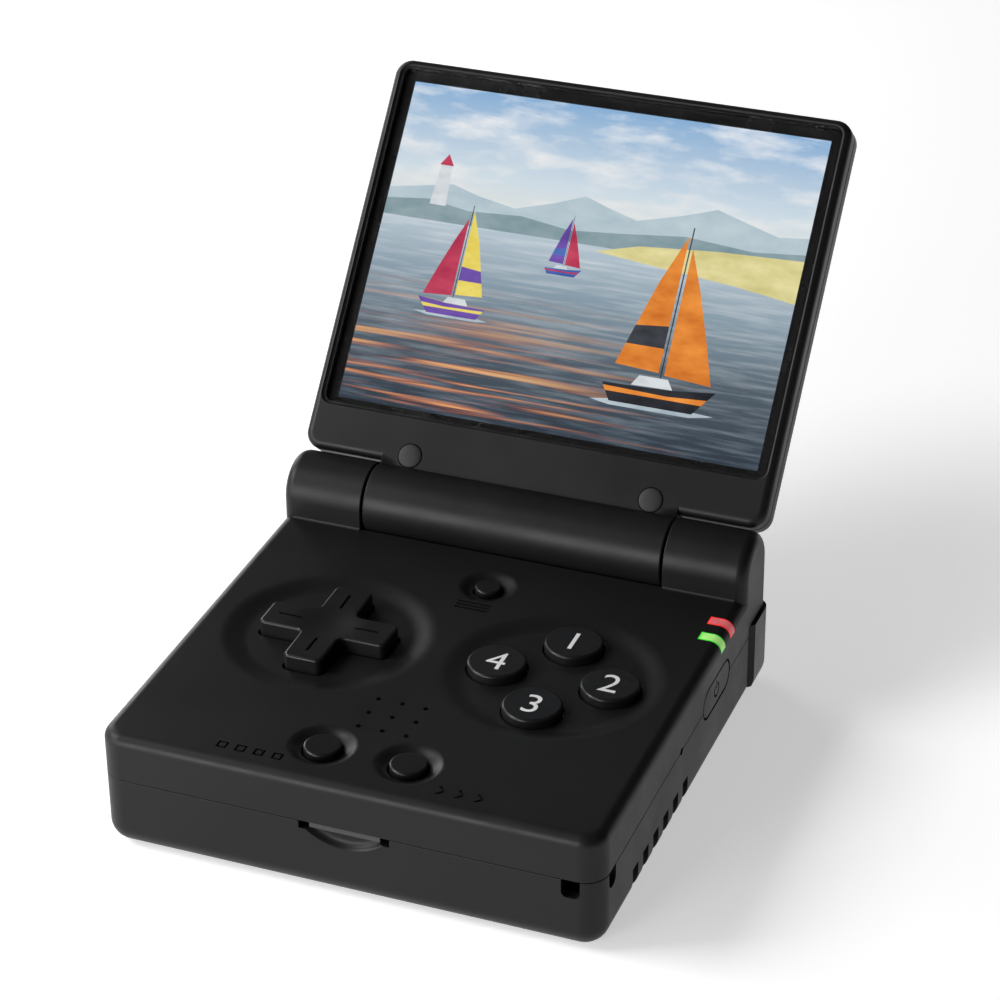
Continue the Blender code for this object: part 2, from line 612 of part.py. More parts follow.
def base_top_case():
    """Deck, upper walls and the two outer hinge knuckles."""
    levels = fillet_levels(TOP_CASE_LOW, DECK_HEIGHT, 0, DECK_FILLET)
    case = solid("base_top_case", spread(levels, case_outline), CASE_PLASTIC)
    for side in (-1, 1):
        ends = fillet_levels(KNUCKLE_INNER, SIDE, 0, KNUCKLE_FILLET)
        profile = [(side * height, tombstone(inset)) for height, inset in ends]
        add(case, profile, "X", name="knuckle")
    trough = circle(AXIS_Y, AXIS_Z, TROUGH_RADIUS, HINGE_STEPS)
    cut(case, straight(trough, -KNUCKLE_INNER, KNUCKLE_INNER), "X", name="trough")
    behind = rect(AXIS_Y, BACK + OVERRUN, DECK_HEIGHT - BACK_WALL_DROP, AXIS_Z)
    cut(case, straight(behind, -KNUCKLE_INNER, KNUCKLE_INNER), "X", name="behind_barrel")
    inner = SIDE - WALL
    trough_front = AXIS_Y - TROUGH_RADIUS - TROUGH_WALL
    corner = max(FRONT_CORNER_RADIUS - WALL, MIN_RADIUS)
    main = rounded_rect(-inner, inner, FRONT + WALL, trough_front, (corner, corner))
    cut(case, straight(main, TOP_CASE_LOW - OVERRUN, CEILING), name="main_cavity")
    rear = rounded_rect(-inner, inner, FACE_PAD_Y, BACK - WALL, (corner, MIN_RADIUS))
    cut(case, straight(rear, TOP_CASE_LOW - OVERRUN, REAR_CAVITY_TOP), name="rear_cavity")
    for x, y in BOSSES:
        boss = circle(x, y, TOP_BOSS_RADIUS, SMALL_ROUND_STEPS)
        add(case, straight(boss, SHEET_LOW, CEILING + OVERRUN / 2), name="boss")
        pilot = circle(x, y, SCREW_RADIUS + GAP, SMALL_ROUND_STEPS)
        pilot_end = SCREW_SEAT_HEIGHT + SCREW_LENGTH + 2 * GAP
        cut(case, straight(pilot, SHEET_LOW - OVERRUN, pilot_end), name="pilot")
    cut(case, dish_levels(FACE_PAD_X, FACE_PAD_Y, FACE_DISH_RADIUS), name="face_dish")
    cut(case, dish_levels(DPAD_X, DPAD_Y, DPAD_DISH_RADIUS), name="dpad_dish")
    for x, y in FACE_BUTTONS.values():
        hole = circle(x, y, FACE_BUTTON_RADIUS + GAP)
        cut(case, straight(hole, CEILING - OVERRUN, DECK_HEIGHT + OVERRUN), name="button_hole")
    slot = cross(DPAD_X, DPAD_Y, DPAD_REACH + DPAD_SLOT_GAP, DPAD_ARM_WIDTH + 2 * DPAD_SLOT_GAP)
    cut(case, straight(slot, CEILING - OVERRUN, DECK_HEIGHT + OVERRUN), name="dpad_slot")
    for x, y, radius, recess in SYSTEM_BUTTONS.values():
        hole = circle(x, y, radius + GAP, SMALL_ROUND_STEPS * 2)
        rim = circle(x, y, recess, SMALL_ROUND_STEPS * 2)
        funnel = [(CEILING - OVERRUN, hole), (DECK_HEIGHT - RECESS_DEPTH, hole), (DECK_HEIGHT, rim),
                  (DECK_HEIGHT + OVERRUN, rim)]
        cut(case, funnel, name="button_recess")
    for column in (-1, 0, 1):
        for row in (-1, 0, 1):
            x, y = column * SPEAKER_HOLE_PITCH, FRONT + SPEAKER_FROM_FRONT + row * SPEAKER_HOLE_PITCH
            hole = circle(x, y, SPEAKER_HOLE_RADIUS, SMALL_ROUND_STEPS // 2)
            cut(case, straight(hole, CEILING - OVERRUN, DECK_HEIGHT + OVERRUN), name="speaker_hole")
    side_openings(case)
    for from_back in LIGHT_FROM_BACK:
        low, high = span(BACK - from_back, LIGHT_WIDTH + 2 * GAP)
        cut(case, straight(light_outline(GAP, OVERRUN), low, high), "Y", name="light_slot")
    for side in (-1, 1):
        low, high = mirrored(side, KNUCKLE_INNER - OVERRUN, KNUCKLE_INNER + SHAFT_IN_KNUCKLE + GAP)
        bore = circle(AXIS_Y, AXIS_Z, SHAFT_RADIUS + GAP, SMALL_ROUND_STEPS)
        cut(case, straight(bore, low, high), "X", name="shaft_bore")
        pin = circle(side * SHOULDER_PIVOT_X, SHOULDER_PIVOT_Y, SHOULDER_PIN_RADIUS + GAP, SMALL_ROUND_STEPS)
        cut(case, straight(pin, REAR_CAVITY_TOP - OVERRUN, SHOULDER_PIN_HIGH + GAP), name="pin_hole")
    return case


def base_bottom_case():
    """Tray with the vents, the card slot, the lanyard bar and the battery bay."""
    levels = fillet_levels(0, BOTTOM_CASE_HIGH, FOOT_FILLET, 0)
    case = solid("base_bottom_case", spread(levels, case_outline), CASE_PLASTIC)
    inner = SIDE - WALL
    corner = max(FRONT_CORNER_RADIUS - WALL, MIN_RADIUS)
    cavity = rounded_rect(-inner, inner, FRONT + WALL, BACK - WALL, (corner, MIN_RADIUS))
    cut(case, straight(cavity, FLOOR, BOTTOM_CASE_HIGH + OVERRUN), name="cavity")
    bar_near, bar_far = WALL - GAP, LANYARD_BAR - GAP
    bar = rect(SIDE - bar_far, SIDE - bar_near, FRONT + bar_near, FRONT + bar_far)
    add(case, straight(bar, FLOOR - GAP, BOTTOM_CASE_HIGH), name="lanyard_bar")
    for x, y in BOSSES:
        column = circle(x, y, BOSS_RADIUS, SMALL_ROUND_STEPS)
        add(case, straight(column, FLOOR / 2, UNDER_BOARD), name="boss")
        head = circle(x, y, SCREW_HEAD_RADIUS + GAP, SMALL_ROUND_STEPS)
        shank = circle(x, y, SCREW_RADIUS + GAP, SMALL_ROUND_STEPS)
        stepped = [(-OVERRUN, head), (SCREW_SEAT_HEIGHT, head), (SCREW_SEAT_HEIGHT, shank),
                   (UNDER_BOARD + OVERRUN, shank)]
        cut(case, stepped, name="screw_hole")
    battery_bay(case)
    side_openings(case)
    for index in range(VENT_COUNT):
        low, high = span(FRONT + VENT_FIRST_FROM_FRONT + index * VENT_PITCH, VENT_WIDTH)
        vent = rect(SIDE - VENT_INBOARD, SIDE + OVERRUN, low, high)
        cut(case, straight(vent, -OVERRUN, VENT_TOP), name="vent")
    half_slot = CARD_SLOT_WIDTH / 2
    slot = rect(-half_slot, half_slot, SLOT_FLOOR, BOTTOM_CASE_HIGH + OVERRUN)
    cut(case, straight(slot, FRONT - OVERRUN, FRONT + WALL + OVERRUN), "Y", name="card_slot")
    thumb_z = PARTING_HEIGHT - THUMB_DROP + THUMB_RADIUS
    thumb = [(FRONT - OVERRUN, circle(0, thumb_z, THUMB_RADIUS, DISH_STEPS)),
             (FRONT, circle(0, thumb_z, THUMB_RADIUS, DISH_STEPS)),
             (FRONT + THUMB_DEPTH, circle(0, thumb_z, THUMB_RADIUS - THUMB_TAPER, DISH_STEPS))]
    cut(case, thumb, "Y", name="thumb_recess")
    lanyard_passage(case)
    jack = circle(JACK_Y, JACK_Z, JACK_BORE_RADIUS + 2 * GAP, SMALL_ROUND_STEPS)
    cut(case, straight(jack, -SIDE - OVERRUN, -SIDE + WALL + OVERRUN), "X", name="jack_hole")
    for side in (-1, 1):
        pin = circle(side * SHOULDER_PIVOT_X, SHOULDER_PIVOT_Y, SHOULDER_PIN_RADIUS + GAP, SMALL_ROUND_STEPS)
        cut(case, straight(pin, SHOULDER_PIN_LOW - GAP, FLOOR + OVERRUN), name="pin_hole")
    return case


def lanyard_passage(case):
    """Passage for a wrist strap round the bar in the front right corner."""
    right = LANYARD_X + LANYARD_WIDTH
    near, far = FRONT + LANYARD_BAR, FRONT + LANYARD_BAR + LANYARD_WIDTH
    top = BOTTOM_CASE_HIGH + OVERRUN
    cut(case, straight(rect(LANYARD_X, right, FRONT - OVERRUN, far), LANYARD_FLOOR, top), name="strap_front")
    cut(case, straight(rect(right - GAP, SIDE + OVERRUN, near, far), LANYARD_FLOOR, top), name="strap_side")


def battery_bay(case):
    """Stepped opening for the battery cover, with the ledge and boss that hold it."""
    half = COVER_HALF + GAP
    low, high = COVER_LOW_Y - GAP, COVER_HIGH_Y + GAP
    ledge_top = FLOOR + LEDGE_THICKNESS
    frame = rect(-half - WALL, half + WALL, low - WALL, high + WALL)
    add(case, straight(frame, FLOOR / 2, ledge_top), name="ledge")
    boss = circle(0, COVER_SCREW_Y, COVER_BOSS_RADIUS, SMALL_ROUND_STEPS)
    add(case, straight(boss, FLOOR, ledge_top + COVER_BOSS_HEIGHT), name="cover_boss")
    opening = rounded_rect(-half, half, low, high, (COVER_CORNER_RADIUS, COVER_CORNER_RADIUS))
    cut(case, straight(opening, -OVERRUN, FLOOR), name="cover_opening")
    bay_low = COVER_LOW_Y + LEDGE_FRONT_WIDTH
    bay = rect(-half + LEDGE_OVERHANG, half - LEDGE_OVERHANG, bay_low, high - LEDGE_OVERHANG)
    cut(case, straight(bay, FLOOR - OVERRUN / 2, ledge_top + OVERRUN), name="battery_opening")
    for side in (-1, 1):
        left, right = span(side * COVER_TAB_SPREAD, COVER_TAB_WIDTH + 2 * GAP)
        notch = rect(left, right, high - LEDGE_OVERHANG - OVERRUN / 2, high + OVERRUN / 2)
        cut(case, straight(notch, FLOOR - OVERRUN / 2, ledge_top + OVERRUN), name="tab_notch")
    thread = circle(0, COVER_SCREW_Y, COVER_SCREW_RADIUS + GAP, SMALL_ROUND_STEPS)
    thread_end = COVER_SCREW_HEAD_HEIGHT + COVER_SCREW_LENGTH + 2 * GAP
    cut(case, straight(thread, FLOOR - OVERRUN / 2, thread_end), name="cover_thread")


def battery_cover():
    """Flush door in the underside with two rear tabs."""
    low, high = COVER_LOW_Y, COVER_HIGH_Y
    radii = (COVER_CORNER_RADIUS, COVER_CORNER_RADIUS)
    plate = rounded_rect(-COVER_HALF, COVER_HALF, low, high, radii)
    cover = solid("battery_cover", straight(plate, 0, COVER_THICKNESS), CASE_PLASTIC)
    tab_low = FLOOR + LEDGE_THICKNESS + GAP
    for side in (-1, 1):
        left, right = span(side * COVER_TAB_SPREAD, COVER_TAB_WIDTH)
        stem = rect(left, right, high - LEDGE_OVERHANG, high - LEDGE_OVERHANG / 2)
        add(cover, straight(stem, COVER_THICKNESS / 2, tab_low + LEDGE_THICKNESS / 2), name="tab_stem")
        hook = rect(left, right, high - LEDGE_OVERHANG, high + COVER_TAB_REACH)
        add(cover, straight(hook, tab_low, tab_low + LEDGE_THICKNESS / 2), name="tab_hook")
    head = circle(0, COVER_SCREW_Y, COVER_SCREW_HEAD_RADIUS + GAP, SMALL_ROUND_STEPS)
    shank = circle(0, COVER_SCREW_Y, COVER_SCREW_RADIUS + GAP, SMALL_ROUND_STEPS)
    seat = COVER_SCREW_HEAD_HEIGHT + 2 * GAP
    stepped = [(-OVERRUN, head), (seat, head), (seat, shank), (FLOOR + OVERRUN, shank)]
    cut(cover, stepped, name="screw_hole")
    return cover


def screw(name, x, y, low, head_radius, head_height, shank_radius, length):
    """Screw driven upwards, its head below, with a round drive recess."""
    head = circle(x, y, head_radius, SMALL_ROUND_STEPS)
    shank = circle(x, y, shank_radius, SMALL_ROUND_STEPS)
    seat = low + head_height
    levels = [(low, head), (seat, head), (seat, shank), (seat + length, shank)]
    made = solid(name, levels, DARK_STEEL)
    drive = circle(x, y, DRIVE_RADIUS, SMALL_ROUND_STEPS // 2)
    cut(made, straight(drive, low - OVERRUN, low + DRIVE_DEPTH), name="drive")
    return made


def fasteners():
    """Four case screws and the battery cover's screw."""
    for number, (x, y) in enumerate(BOSSES, 1):
        low = SCREW_SEAT_HEIGHT - GAP - SCREW_HEAD_HEIGHT
        screw(f"case_screw_{number}", x, y, low, SCREW_HEAD_RADIUS, SCREW_HEAD_HEIGHT, SCREW_RADIUS,
              SCREW_LENGTH)
    screw("battery_cover_screw", 0, COVER_SCREW_Y, GAP, COVER_SCREW_HEAD_RADIUS, COVER_SCREW_HEAD_HEIGHT,
          COVER_SCREW_RADIUS, COVER_SCREW_LENGTH)


def battery_pack():
    """Flat cell that rests on its cover."""
    half = COVER_HALF - LEDGE_OVERHANG
    low = COVER_LOW_Y + LEDGE_FRONT_WIDTH + GAP
    high = COVER_HIGH_Y - 2 * LEDGE_OVERHANG
    radii = (BATTERY_CORNER_RADIUS, BATTERY_CORNER_RADIUS)
    outline = rounded_rect(-half, half, low, high, radii)
    top = UNDER_BOARD - SHIELD_HEIGHT - BATTERY_HEADROOM
    return solid("battery_pack", straight(outline, COVER_THICKNESS + GAP, top), CELL_WRAP)


def main_board():
    """Circuit board under the deck, with a tongue to the charging socket."""
    half = SIDE - BOARD_FROM_SIDE
    tongue = SIDE - BOARD_TONGUE_FROM_SIDE
    low, high = FRONT + BOARD_FROM_FRONT, BACK - BOARD_REAR_EDGE
    rear = BACK - BOARD_TONGUE_REAR
    outline = [(-half, low), (half, low), (half, high), (tongue, high), (tongue, rear), (-tongue, rear),
               (-tongue, high), (-half, high)]
    board = solid("main_board", straight(outline, BOARD_LOW, BOARD_TOP), BOARD_LAMINATE)
    for x, y in BOSSES:
        hole = circle(x, y, SCREW_RADIUS + GAP, SMALL_ROUND_STEPS)
        cut(board, straight(hole, BOARD_LOW - OVERRUN, BOARD_TOP + OVERRUN), name="screw_hole")
    return board


def processor_shield():
    """Pressed can over the processor, under the board."""
    half = SHIELD_WIDTH / 2
    radii = (SHIELD_CORNER_RADIUS, SHIELD_CORNER_RADIUS)
    low = FRONT + SHIELD_FRONT
    outline = rounded_rect(-half, half, low, low + SHIELD_WIDTH, radii, 0, FILLET_STEPS)
    return solid("processor_shield", straight(outline, UNDER_BOARD - SHIELD_HEIGHT, UNDER_BOARD), STEEL)


def speaker():
    """Flat speaker against the deck's underside, below its nine holes."""
    half = SPEAKER_WIDTH / 2
    low, high = span(FRONT + SPEAKER_FROM_FRONT, SPEAKER_DEPTH)
    radii = (SPEAKER_CORNER_RADIUS, SPEAKER_CORNER_RADIUS)
    top = CEILING - GAP
    levels = fillet_levels(top - SPEAKER_HEIGHT, top, 0, SPEAKER_FILLET)
    outlines = spread(levels, lambda inset: rounded_rect(-half, half, low, high, radii, inset))
    return solid("speaker", outlines, INNER_PLASTIC)


def face_buttons():
    """Four round buttons in a diamond, and the rubber sheet with their domes."""
    top = DECK_HEIGHT + FACE_BUTTON_HEIGHT
    for name, (x, y) in FACE_BUTTONS.items():
        flange = circle(x, y, FACE_BUTTON_RADIUS + FLANGE_MARGIN)
        levels = [(FLANGE_LOW, flange), (FLANGE_TOP, flange)]
        for height, inset in fillet_levels(FLANGE_TOP, top, 0, FACE_BUTTON_FILLET):
            levels.append((height, circle(x, y, FACE_BUTTON_RADIUS - inset)))
        button = solid(name, levels, BUTTON_PLASTIC)
        set_origin(button, Vector((x, y, FLANGE_LOW)))
    sheet_radius = FACE_BUTTON_REACH + DOME_RADIUS + MEMBRANE_MARGIN
    outline = circle(FACE_PAD_X, FACE_PAD_Y, sheet_radius)
    sheet = solid("face_button_membrane", straight(outline, SHEET_LOW, SHEET_TOP), MEMBRANE_RUBBER)
    for x, y in FACE_BUTTONS.values():
        dome = circle(x, y, DOME_RADIUS, SMALL_ROUND_STEPS)
        add(sheet, straight(dome, SHEET_TOP - DOME_SHEET / 2, FACE_DOME_TOP), name="dome")


def dpad():
    """Directional pad, the stud that it rocks on, and its rubber sheet."""
    flange_top = CEILING - DPAD_FLANGE_DROP
    flange_low = flange_top - DPAD_FLANGE_THICKNESS
    top = DECK_HEIGHT + DPAD_HEIGHT
    wide = DPAD_REACH + FLANGE_MARGIN - DPAD_FILLET
    flange = cross(DPAD_X, DPAD_Y, wide, DPAD_ARM_WIDTH + 2 * FLANGE_MARGIN)
    levels = [(flange_low, flange), (flange_top, flange)]
    for height, inset in fillet_levels(flange_top, top, 0, DPAD_FILLET):
        levels.append((height, cross(DPAD_X, DPAD_Y, DPAD_REACH - inset, DPAD_ARM_WIDTH - 2 * inset)))
    pad = solid("dpad", levels, BUTTON_PLASTIC)
    groove_low, groove_high = top - DPAD_GROOVE_DEPTH, top + OVERRUN
    for sign in (-1, 1):
        across = span(DPAD_X, DPAD_GROOVE_WIDTH)
        along = span(DPAD_Y + sign * DPAD_GROOVE_FROM_CENTRE, DPAD_GROOVE_LENGTH)
        cut(pad, straight(rect(*across, *along), groove_low, groove_high), name="groove")
        across = span(DPAD_X + sign * DPAD_GROOVE_FROM_CENTRE, DPAD_GROOVE_LENGTH)
        along = span(DPAD_Y, DPAD_GROOVE_WIDTH)
        cut(pad, straight(rect(*across, *along), groove_low, groove_high), name="groove")
    pivot_point = Vector((DPAD_X, DPAD_Y, flange_top + DPAD_AXIS_RISE))
    set_origin(pad, pivot_point)
    stud = circle(DPAD_X, DPAD_Y, PIVOT_RADIUS, SMALL_ROUND_STEPS)
    pivot = solid("dpad_pivot", straight(stud, SHEET_LOW, flange_low - GAP), INNER_PLASTIC)
    set_origin(pivot, pivot_point)
    outline = circle(DPAD_X, DPAD_Y, DPAD_REACH + FLANGE_MARGIN)
    sheet_top = SHEET_LOW + DOME_SHEET / 2
    sheet = solid("dpad_membrane", straight(outline, SHEET_LOW, sheet_top), MEMBRANE_RUBBER)
    hole = circle(DPAD_X, DPAD_Y, PIVOT_RADIUS + PIVOT_HOLE_MARGIN, SMALL_ROUND_STEPS)
    cut(sheet, straight(hole, SHEET_LOW - OVERRUN, sheet_top + OVERRUN), name="stud_hole")


def system_buttons():
    """Menu, select and start buttons with a rubber dome under each."""
    top = DECK_HEIGHT + SYSTEM_BUTTON_HEIGHT
    for name, (x, y, radius, _) in SYSTEM_BUTTONS.items():
        flange = circle(x, y, radius + FLANGE_MARGIN, SMALL_ROUND_STEPS * 2)
        levels = [(FLANGE_LOW, flange), (FLANGE_TOP, flange)]
        for height, inset in fillet_levels(FLANGE_TOP, top, 0, SYSTEM_BUTTON_FILLET):
            levels.append((height, circle(x, y, radius - inset, SMALL_ROUND_STEPS * 2)))
        button = solid(name, levels, BUTTON_PLASTIC)
        set_origin(button, Vector((x, y, FLANGE_LOW)))
        dome_name = name.replace("button", "membrane")
        sheet = circle(x, y, radius + FLANGE_MARGIN, SMALL_ROUND_STEPS)
        dome = circle(x, y, radius / 2, SMALL_ROUND_STEPS)
        levels = [(SHEET_LOW, sheet), (SHEET_TOP, sheet), (SHEET_TOP, dome), (SYSTEM_DOME_TOP, dome)]
        solid(dome_name, levels, MEMBRANE_RUBBER)


def side_key(name, side, y, flange_gap):
    """Long key in a side wall, with a flange inside that keeps it in."""
    outer, inner = SIDE + SIDE_KEY_PROUD, SIDE - WALL - flange_gap
    flange_length = POWER_LENGTH + 2 * SIDE_FLANGE_MARGIN
    flange_height = POWER_HEIGHT + 2 * SIDE_FLANGE_MARGIN
    flange = stadium(y, SIDE_KEY_Z, flange_length, flange_height)
    levels = [(side * (inner - SIDE_FLANGE_THICKNESS), flange), (side * inner, flange)]
    for height, inset in fillet_levels(inner, outer, 0, SIDE_KEY_FILLET):
        cap = stadium(y, SIDE_KEY_Z, POWER_LENGTH, POWER_HEIGHT, inset)
        levels.append((side * height, cap))
    key = solid(name, levels, CASE_PLASTIC, "X")
    set_origin(key, Vector((side * inner, y, SIDE_KEY_Z)))
    return key


def side_keys():
    """Power key on the right, volume rocker on the left, and the switches behind them."""
    side_key("power_button", 1, POWER_Y, GAP)
    side_key("volume_rocker", -1, VOLUME_Y, VOLUME_FLANGE_GAP)
    plunger_end = SIDE - WALL - SIDE_FLANGE_THICKNESS - VOLUME_FLANGE_GAP - GAP - SIDE_KEY_TRAVEL / 2
    face = plunger_end - SWITCH_PLUNGER_LENGTH
    volume_plungers = (-VOLUME_PLUNGER_SPREAD, VOLUME_PLUNGER_SPREAD)
    jobs = (("power_switch", 1, POWER_Y, SWITCH_LENGTH, (0.0,)),
            ("volume_switch", -1, VOLUME_Y, VOLUME_SWITCH_LENGTH, volume_plungers))
    centre_z = UNDER_BOARD - SWITCH_HEIGHT / 2
    for name, side, middle, length, plungers in jobs:
        low, high = span(middle, length)
        left, right = mirrored(side, face - SWITCH_DEPTH, face)
        body = rect(left, right, low, high)
        switch = solid(name, straight(body, UNDER_BOARD - SWITCH_HEIGHT, UNDER_BOARD), DARK_STEEL)
        for offset in plungers:
            left, right = mirrored(side, face - SWITCH_DEPTH / 2, plunger_end)
            rod = circle(middle + offset, centre_z, SWITCH_PLUNGER_RADIUS, SMALL_ROUND_STEPS // 2)
            add(switch, straight(rod, left, right), "X", name="plunger")


def light_pipes():
    """Red and green light pipes that wrap over the right edge."""
    jobs = zip(("red_light_pipe", "green_light_pipe"), LIGHT_FROM_BACK, (RED_PIPE, GREEN_PIPE))
    for name, from_back, look in jobs:
        low, high = span(BACK - from_back, LIGHT_WIDTH)
        solid(name, straight(light_outline(), low, high), look, "Y")


def shoulder_buttons():
    """Corner buttons that swing about an upright pin, and the switches that they press."""
    low, high = SHOULDER_POCKET_FLOOR + GAP, SHOULDER_POCKET_TOP - GAP
    front = SHOULDER_POCKET_FRONT + SHOULDER_SWING_GAP
    inner = SIDE - SHOULDER_LENGTH + SHOULDER_INNER_GAP
    outer = SIDE + SHOULDER_PROUD
    for side, word in ((-1, "left"), (1, "right")):
        form_levels = fillet_levels(-SHOULDER_PROUD, SHOULDER_POCKET_TOP, FOOT_FILLET + SHOULDER_PROUD, 0)
        form = spread(form_levels, lambda inset: case_outline(inset - SHOULDER_PROUD))
        button = solid("shoulder_button_" + word, form, BUTTON_PLASTIC)
        left, right = mirrored(side, inner, outer + OVERRUN)
        block = straight(rect(left, right, front, BACK + SHOULDER_PROUD + OVERRUN), low, high)
        combine(button, solid(button.name + "_block", block), "INTERSECT")
        reach = SHOULDER_CHAMFER + OVERRUN
        bevel = [(side * (outer + OVERRUN), front - OVERRUN), (side * (outer + OVERRUN), front + reach),
                 (side * (outer - reach), front - OVERRUN)]
        cut(button, straight(bevel, low - OVERRUN, high + OVERRUN), name="edge")
        rib_near, rib_far = span(SIDE - SHOULDER_RIB_FROM_SIDE, SHOULDER_RIB_WIDTH)
        hinge_far = SHOULDER_PIVOT_X + SHOULDER_PIVOT_FROM_INNER
        for near, far in ((hinge_far, rib_near), (rib_far, SIDE - SHOULDER_WALL)):
            left, right = mirrored(side, near, far)
            hollow = rect(left, right, front - OVERRUN, BACK - SHOULDER_WALL)
            cut(button, straight(hollow, low + SHOULDER_WALL, high - SHOULDER_WALL), name="hollow")
        pivot_x = side * SHOULDER_PIVOT_X
        bore = circle(pivot_x, SHOULDER_PIVOT_Y, SHOULDER_PIN_RADIUS + GAP, SMALL_ROUND_STEPS)
        cut(button, straight(bore, low - OVERRUN, high + OVERRUN), name="pin_hole")
        set_origin(button, Vector((pivot_x, SHOULDER_PIVOT_Y, low)))
        rod = circle(pivot_x, SHOULDER_PIVOT_Y, SHOULDER_PIN_RADIUS, SMALL_ROUND_STEPS)
        solid("shoulder_pin_" + word, straight(rod, SHOULDER_PIN_LOW, SHOULDER_PIN_HIGH), STEEL)
        shoulder_switch(word, side)


def shoulder_switch(word, side):
    """Push switch under the board's rear edge, in line with a shoulder button's rib."""
    plunger_end = SHOULDER_POCKET_FRONT + GAP
    face = plunger_end - SWITCH_PLUNGER_LENGTH
    left, right = mirrored(side, *span(SIDE - SHOULDER_RIB_FROM_SIDE, SWITCH_LENGTH))
    body = rect(left, right, face - SWITCH_DEPTH, face)
    body_levels = straight(body, UNDER_BOARD - SWITCH_LENGTH, UNDER_BOARD)
    switch = solid("shoulder_switch_" + word, body_levels, DARK_STEEL)
    middle = side * (SIDE - SHOULDER_RIB_FROM_SIDE)
    rod = circle(middle, UNDER_BOARD - SWITCH_LENGTH / 2, SWITCH_PLUNGER_RADIUS, SMALL_ROUND_STEPS // 2)
    add(switch, straight(rod, face - SWITCH_DEPTH / 2, plunger_end), "Y", name="plunger")


def card_parts():
    """Memory card in the front slot and the socket that holds it."""
    half = CARD_WIDTH / 2
    low = FRONT + CARD_INSET
    high = low + CARD_LENGTH
    outline = [(-half, low), (half, low), (half, high - CARD_CHAMFER), (half - CARD_CHAMFER, high),
               (-half, high)]
    card = solid("memory_card", straight(outline, CARD_LOW, CARD_LOW + CARD_THICKNESS), INNER_PLASTIC)
    set_origin(card, Vector((0, low, CARD_LOW)))
    socket_low = CARD_LOW - GAP - SOCKET_WALL
    socket_half = half + GAP + SOCKET_WALL
    back = high + GAP + SOCKET_BACK_WALL
    body = rect(-socket_half, socket_half, FRONT + SOCKET_FROM_FRONT, back)
    socket = solid("card_socket", straight(body, socket_low, UNDER_BOARD), STEEL)
    channel = rect(-half - GAP, half + GAP, FRONT + SOCKET_FROM_FRONT - OVERRUN, high + GAP)
    cut(socket, straight(channel, CARD_LOW - GAP, CARD_LOW + CARD_THICKNESS + GAP), name="channel")


def headphone_socket():
    """Headphone socket in the left wall."""
    outer = -SIDE + WALL + GAP
    low, high = span(JACK_Y, JACK_WIDTH)
    body = rect(outer, outer + JACK_LENGTH, low, high)
    socket = solid("headphone_socket", straight(body, JACK_Z - JACK_WIDTH / 2, UNDER_BOARD), INNER_PLASTIC)
    bore = circle(JACK_Y, JACK_Z, JACK_BORE_RADIUS, SMALL_ROUND_STEPS)
    cut(socket, straight(bore, outer - OVERRUN, outer + JACK_BORE_DEPTH), "X", name="bore")


def usb_socket():
    """Charging socket with its tongue, under the board's rear tongue."""
    mouth = BACK - GAP
    inner_end = mouth - USB_LENGTH
    shell = stadium(0, USB_CENTRE_Z, USB_WIDTH, USB_HEIGHT)
    socket = solid("usb_socket", straight(shell, inner_end, mouth), STEEL, "Y")
    cavity = stadium(0, USB_CENTRE_Z, USB_WIDTH - 2 * USB_SHELL, USB_HEIGHT - 2 * USB_SHELL)
    cavity_end = mouth - USB_CAVITY_DEPTH
    cut(socket, straight(cavity, cavity_end, mouth + OVERRUN), "Y", name="cavity")
    half = USB_TONGUE_WIDTH / 2
    thick_low, thick_high = span(USB_CENTRE_Z, USB_TONGUE_THICKNESS)
    tongue = rect(-half, half, thick_low, thick_high)
    add(socket, straight(tongue, inner_end + USB_SHELL, cavity_end + USB_TONGUE_LENGTH), "Y", name="tongue")


def lid_outline(inset=0.0):
    """The lid's outline in X and lid height."""
    radii = (LID_CORNER_RADIUS, LID_CORNER_RADIUS)
    return rounded_rect(-SIDE, SIDE, LID_HEEL, LID_TOP, radii, inset)


